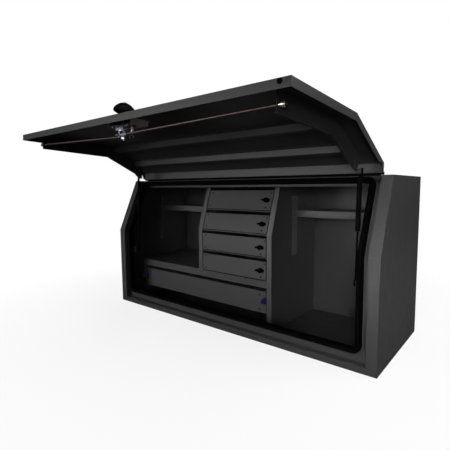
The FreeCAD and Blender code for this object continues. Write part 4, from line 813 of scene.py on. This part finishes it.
def make_rib_rivets():
    """Spot rivets along both edges of the lid's two ribs."""
    ribs = Shape(on_lid)
    inward = (0, math.cos(LEAN), -math.sin(LEAN))
    for start in RIB_STARTS:
        for edge in RIB_EDGES:
            along = start + edge
            y = along * math.sin(LEAN) + RIB_FACE * math.cos(LEAN)
            z = KNEE + along * math.cos(LEAN) - RIB_FACE * math.sin(LEAN)
            for x in range(-640, 641, 160):
                ribs.dome((x, y, z), inward, 3.2, 1.2)
    ribs.make("rib_spot_rivets", RIVET, "lid", "powder_black")


make_seal()
make_handle()
make_cam_fittings()
make_lock_body_fittings()
make_rod_ends()
make_latches()
make_gap_shade_strips()
make_drawer_rivets()
make_strut_fittings()
make_hinge_rivets()
make_seams_and_strips()
make_hinge_caps()
make_shell_rivets()
make_rib_rivets()


# ---- Camera, lights and ground -----------------------------------------------------------

SENSOR = 36
FOCAL = 0.8106
CAMERA_SHIFT = (-0.0359, -0.0043)
CAMERA_PLACE = (1279.4, -1400.6, 753)
CAMERA_TURN = (38.2136, -5.6053, -0.3777)
WHITE = (1, 1, 1, 1)
FLOOR_SIZE = 60
FLOOR_DROP = 0.0005
FLOOR_TONE = 0.85
FLOOR_BOUNCE = 0.1
FLOOR_WHITE = {"low": 0.84, "high": 1, "start": 0.8, "end": 1.9}


def make_camera():
    """Camera from its focal length in frame widths, its place, and its yaw, pitch and roll."""
    data = bpy.data.cameras.new("camera")
    data.sensor_width = SENSOR
    data.lens = FOCAL * SENSOR
    data.shift_x, data.shift_y = CAMERA_SHIFT
    camera = bpy.data.objects.new("camera", data)
    bpy.context.scene.collection.objects.link(camera)
    yaw, pitch, roll = (math.radians(angle) for angle in CAMERA_TURN)
    level = Vector((math.cos(yaw), math.sin(yaw), 0))
    flat = math.cos(pitch)
    ahead = Vector((-math.sin(yaw) * flat, math.cos(yaw) * flat, math.sin(pitch)))
    upright = level.cross(ahead)
    right = level * math.cos(roll) + upright * math.sin(roll)
    up = upright * math.cos(roll) - level * math.sin(roll)
    turned = Matrix((right, up, -ahead)).transposed().to_4x4()
    camera.matrix_world = Matrix.Translation(at(*CAMERA_PLACE)) @ turned
    bpy.context.scene.camera = camera


def area_light(name, place, aim, size, power, spread=180):
    """Softbox in metres and watts; a spread under 180 degrees is a grid in front of it."""
    data = bpy.data.lights.new(name, "AREA")
    data.spread = math.radians(spread)
    data.shape = "RECTANGLE"
    data.size, data.size_y = size
    data.energy = power
    lamp = bpy.data.objects.new(name, data)
    lamp.location = place
    lamp.rotation_euler = (Vector(aim) - Vector(place)).to_track_quat("-Z", "Y").to_euler()
    bpy.context.scene.collection.objects.link(lamp)


def make_world(ambient):
    """White to the camera, and a low even light on everything else."""
    world = bpy.data.worlds.new("studio")
    world.use_nodes = True
    bpy.context.scene.world = world
    nodes, links = world.node_tree.nodes, world.node_tree.links
    shown = nodes.new("ShaderNodeBackground")
    shown.inputs["Color"].default_value = WHITE
    lighting = nodes["Background"]
    lighting.inputs["Color"].default_value = WHITE
    lighting.inputs["Strength"].default_value = ambient
    seen = nodes.new("ShaderNodeLightPath").outputs["Is Camera Ray"]
    mix = nodes.new("ShaderNodeMixShader")
    links.new(seen, mix.inputs["Fac"])
    links.new(lighting.outputs["Background"], mix.inputs[1])
    links.new(shown.outputs["Background"], mix.inputs[2])
    links.new(mix.outputs["Shader"], nodes["World Output"].inputs["Surface"])


def make_floor():
    """Pale floor that goes over to white further out.

    The camera sees it lit from within; every other ray meets a dark floor, so it throws little
    light up.
    """
    bpy.ops.mesh.primitive_plane_add(size=FLOOR_SIZE, location=(0, 0, -FLOOR_DROP))
    floor = bpy.context.object
    floor.name = "floor"
    material, nodes, links, shader = new_material("floor_pale")
    shader.inputs["Roughness"].default_value = 0.9
    shader.inputs["Specular IOR Level"].default_value = 0.0
    glow = nodes.new("ShaderNodeEmission")
    coords = nodes.new("ShaderNodeTexCoord").outputs["Object"]
    length = nodes.new("ShaderNodeVectorMath")
    length.operation = "LENGTH"
    links.new(coords, length.inputs[0])
    far = remap(nodes, links, length.outputs["Value"], **FLOOR_WHITE)
    seen = nodes.new("ShaderNodeLightPath").outputs["Is Camera Ray"]
    tone = tint(nodes, links, seen, grey(FLOOR_BOUNCE), grey(FLOOR_TONE))
    links.new(tone, shader.inputs["Base Color"])
    share = nodes.new("ShaderNodeMath")
    share.operation = "MULTIPLY"
    links.new(far, share.inputs[0])
    links.new(seen, share.inputs[1])
    mix = nodes.new("ShaderNodeMixShader")
    links.new(share.outputs[0], mix.inputs["Fac"])
    links.new(shader.outputs["BSDF"], mix.inputs[1])
    links.new(glow.outputs["Emission"], mix.inputs[2])
    links.new(mix.outputs["Shader"], nodes["Material Output"].inputs["Surface"])
    floor.data.materials.append(material)


make_camera()
make_world(ambient=0.075)
area_light("soft_left", (-1.7, -3.6, 1.3), (0, 0, 0.7), (2.4, 0.9), 48)
area_light("low_left", (-1.7, -3.7, 0.3), (-0.2, 0, 0.12), (1.6, 0.4), 1.5, 32)
area_light("key_right", (2.3, -2.6, 0.8), (0.5, 0.4, 0.3), (0.9, 0.7), 2.2, 50)
area_light("bay_right", (2.0, -2.9, 1.0), (0.56, 0.3, 0.25), (0.5, 0.4), 1.8, 24)
area_light("bay_left", (0.5, -3.3, 1.0), (-0.55, 0.4, 0.35), (0.5, 0.4), 0.6, 20)
area_light("top", (1.6, -1.7, 3.2), (0.4, 0, 0.5), (1.8, 1.4), 43)
area_light("side", (3.4, 1.1, 2.8), (0.85, 0.3, 0.7), (1.8, 1.3), 76)
area_light("back_fill", (-3.5, 3.5, 3.0), (0, 0, 0.4), (3, 2), 60)
make_floor()

bpy.context.scene.view_settings.view_transform = "Standard"
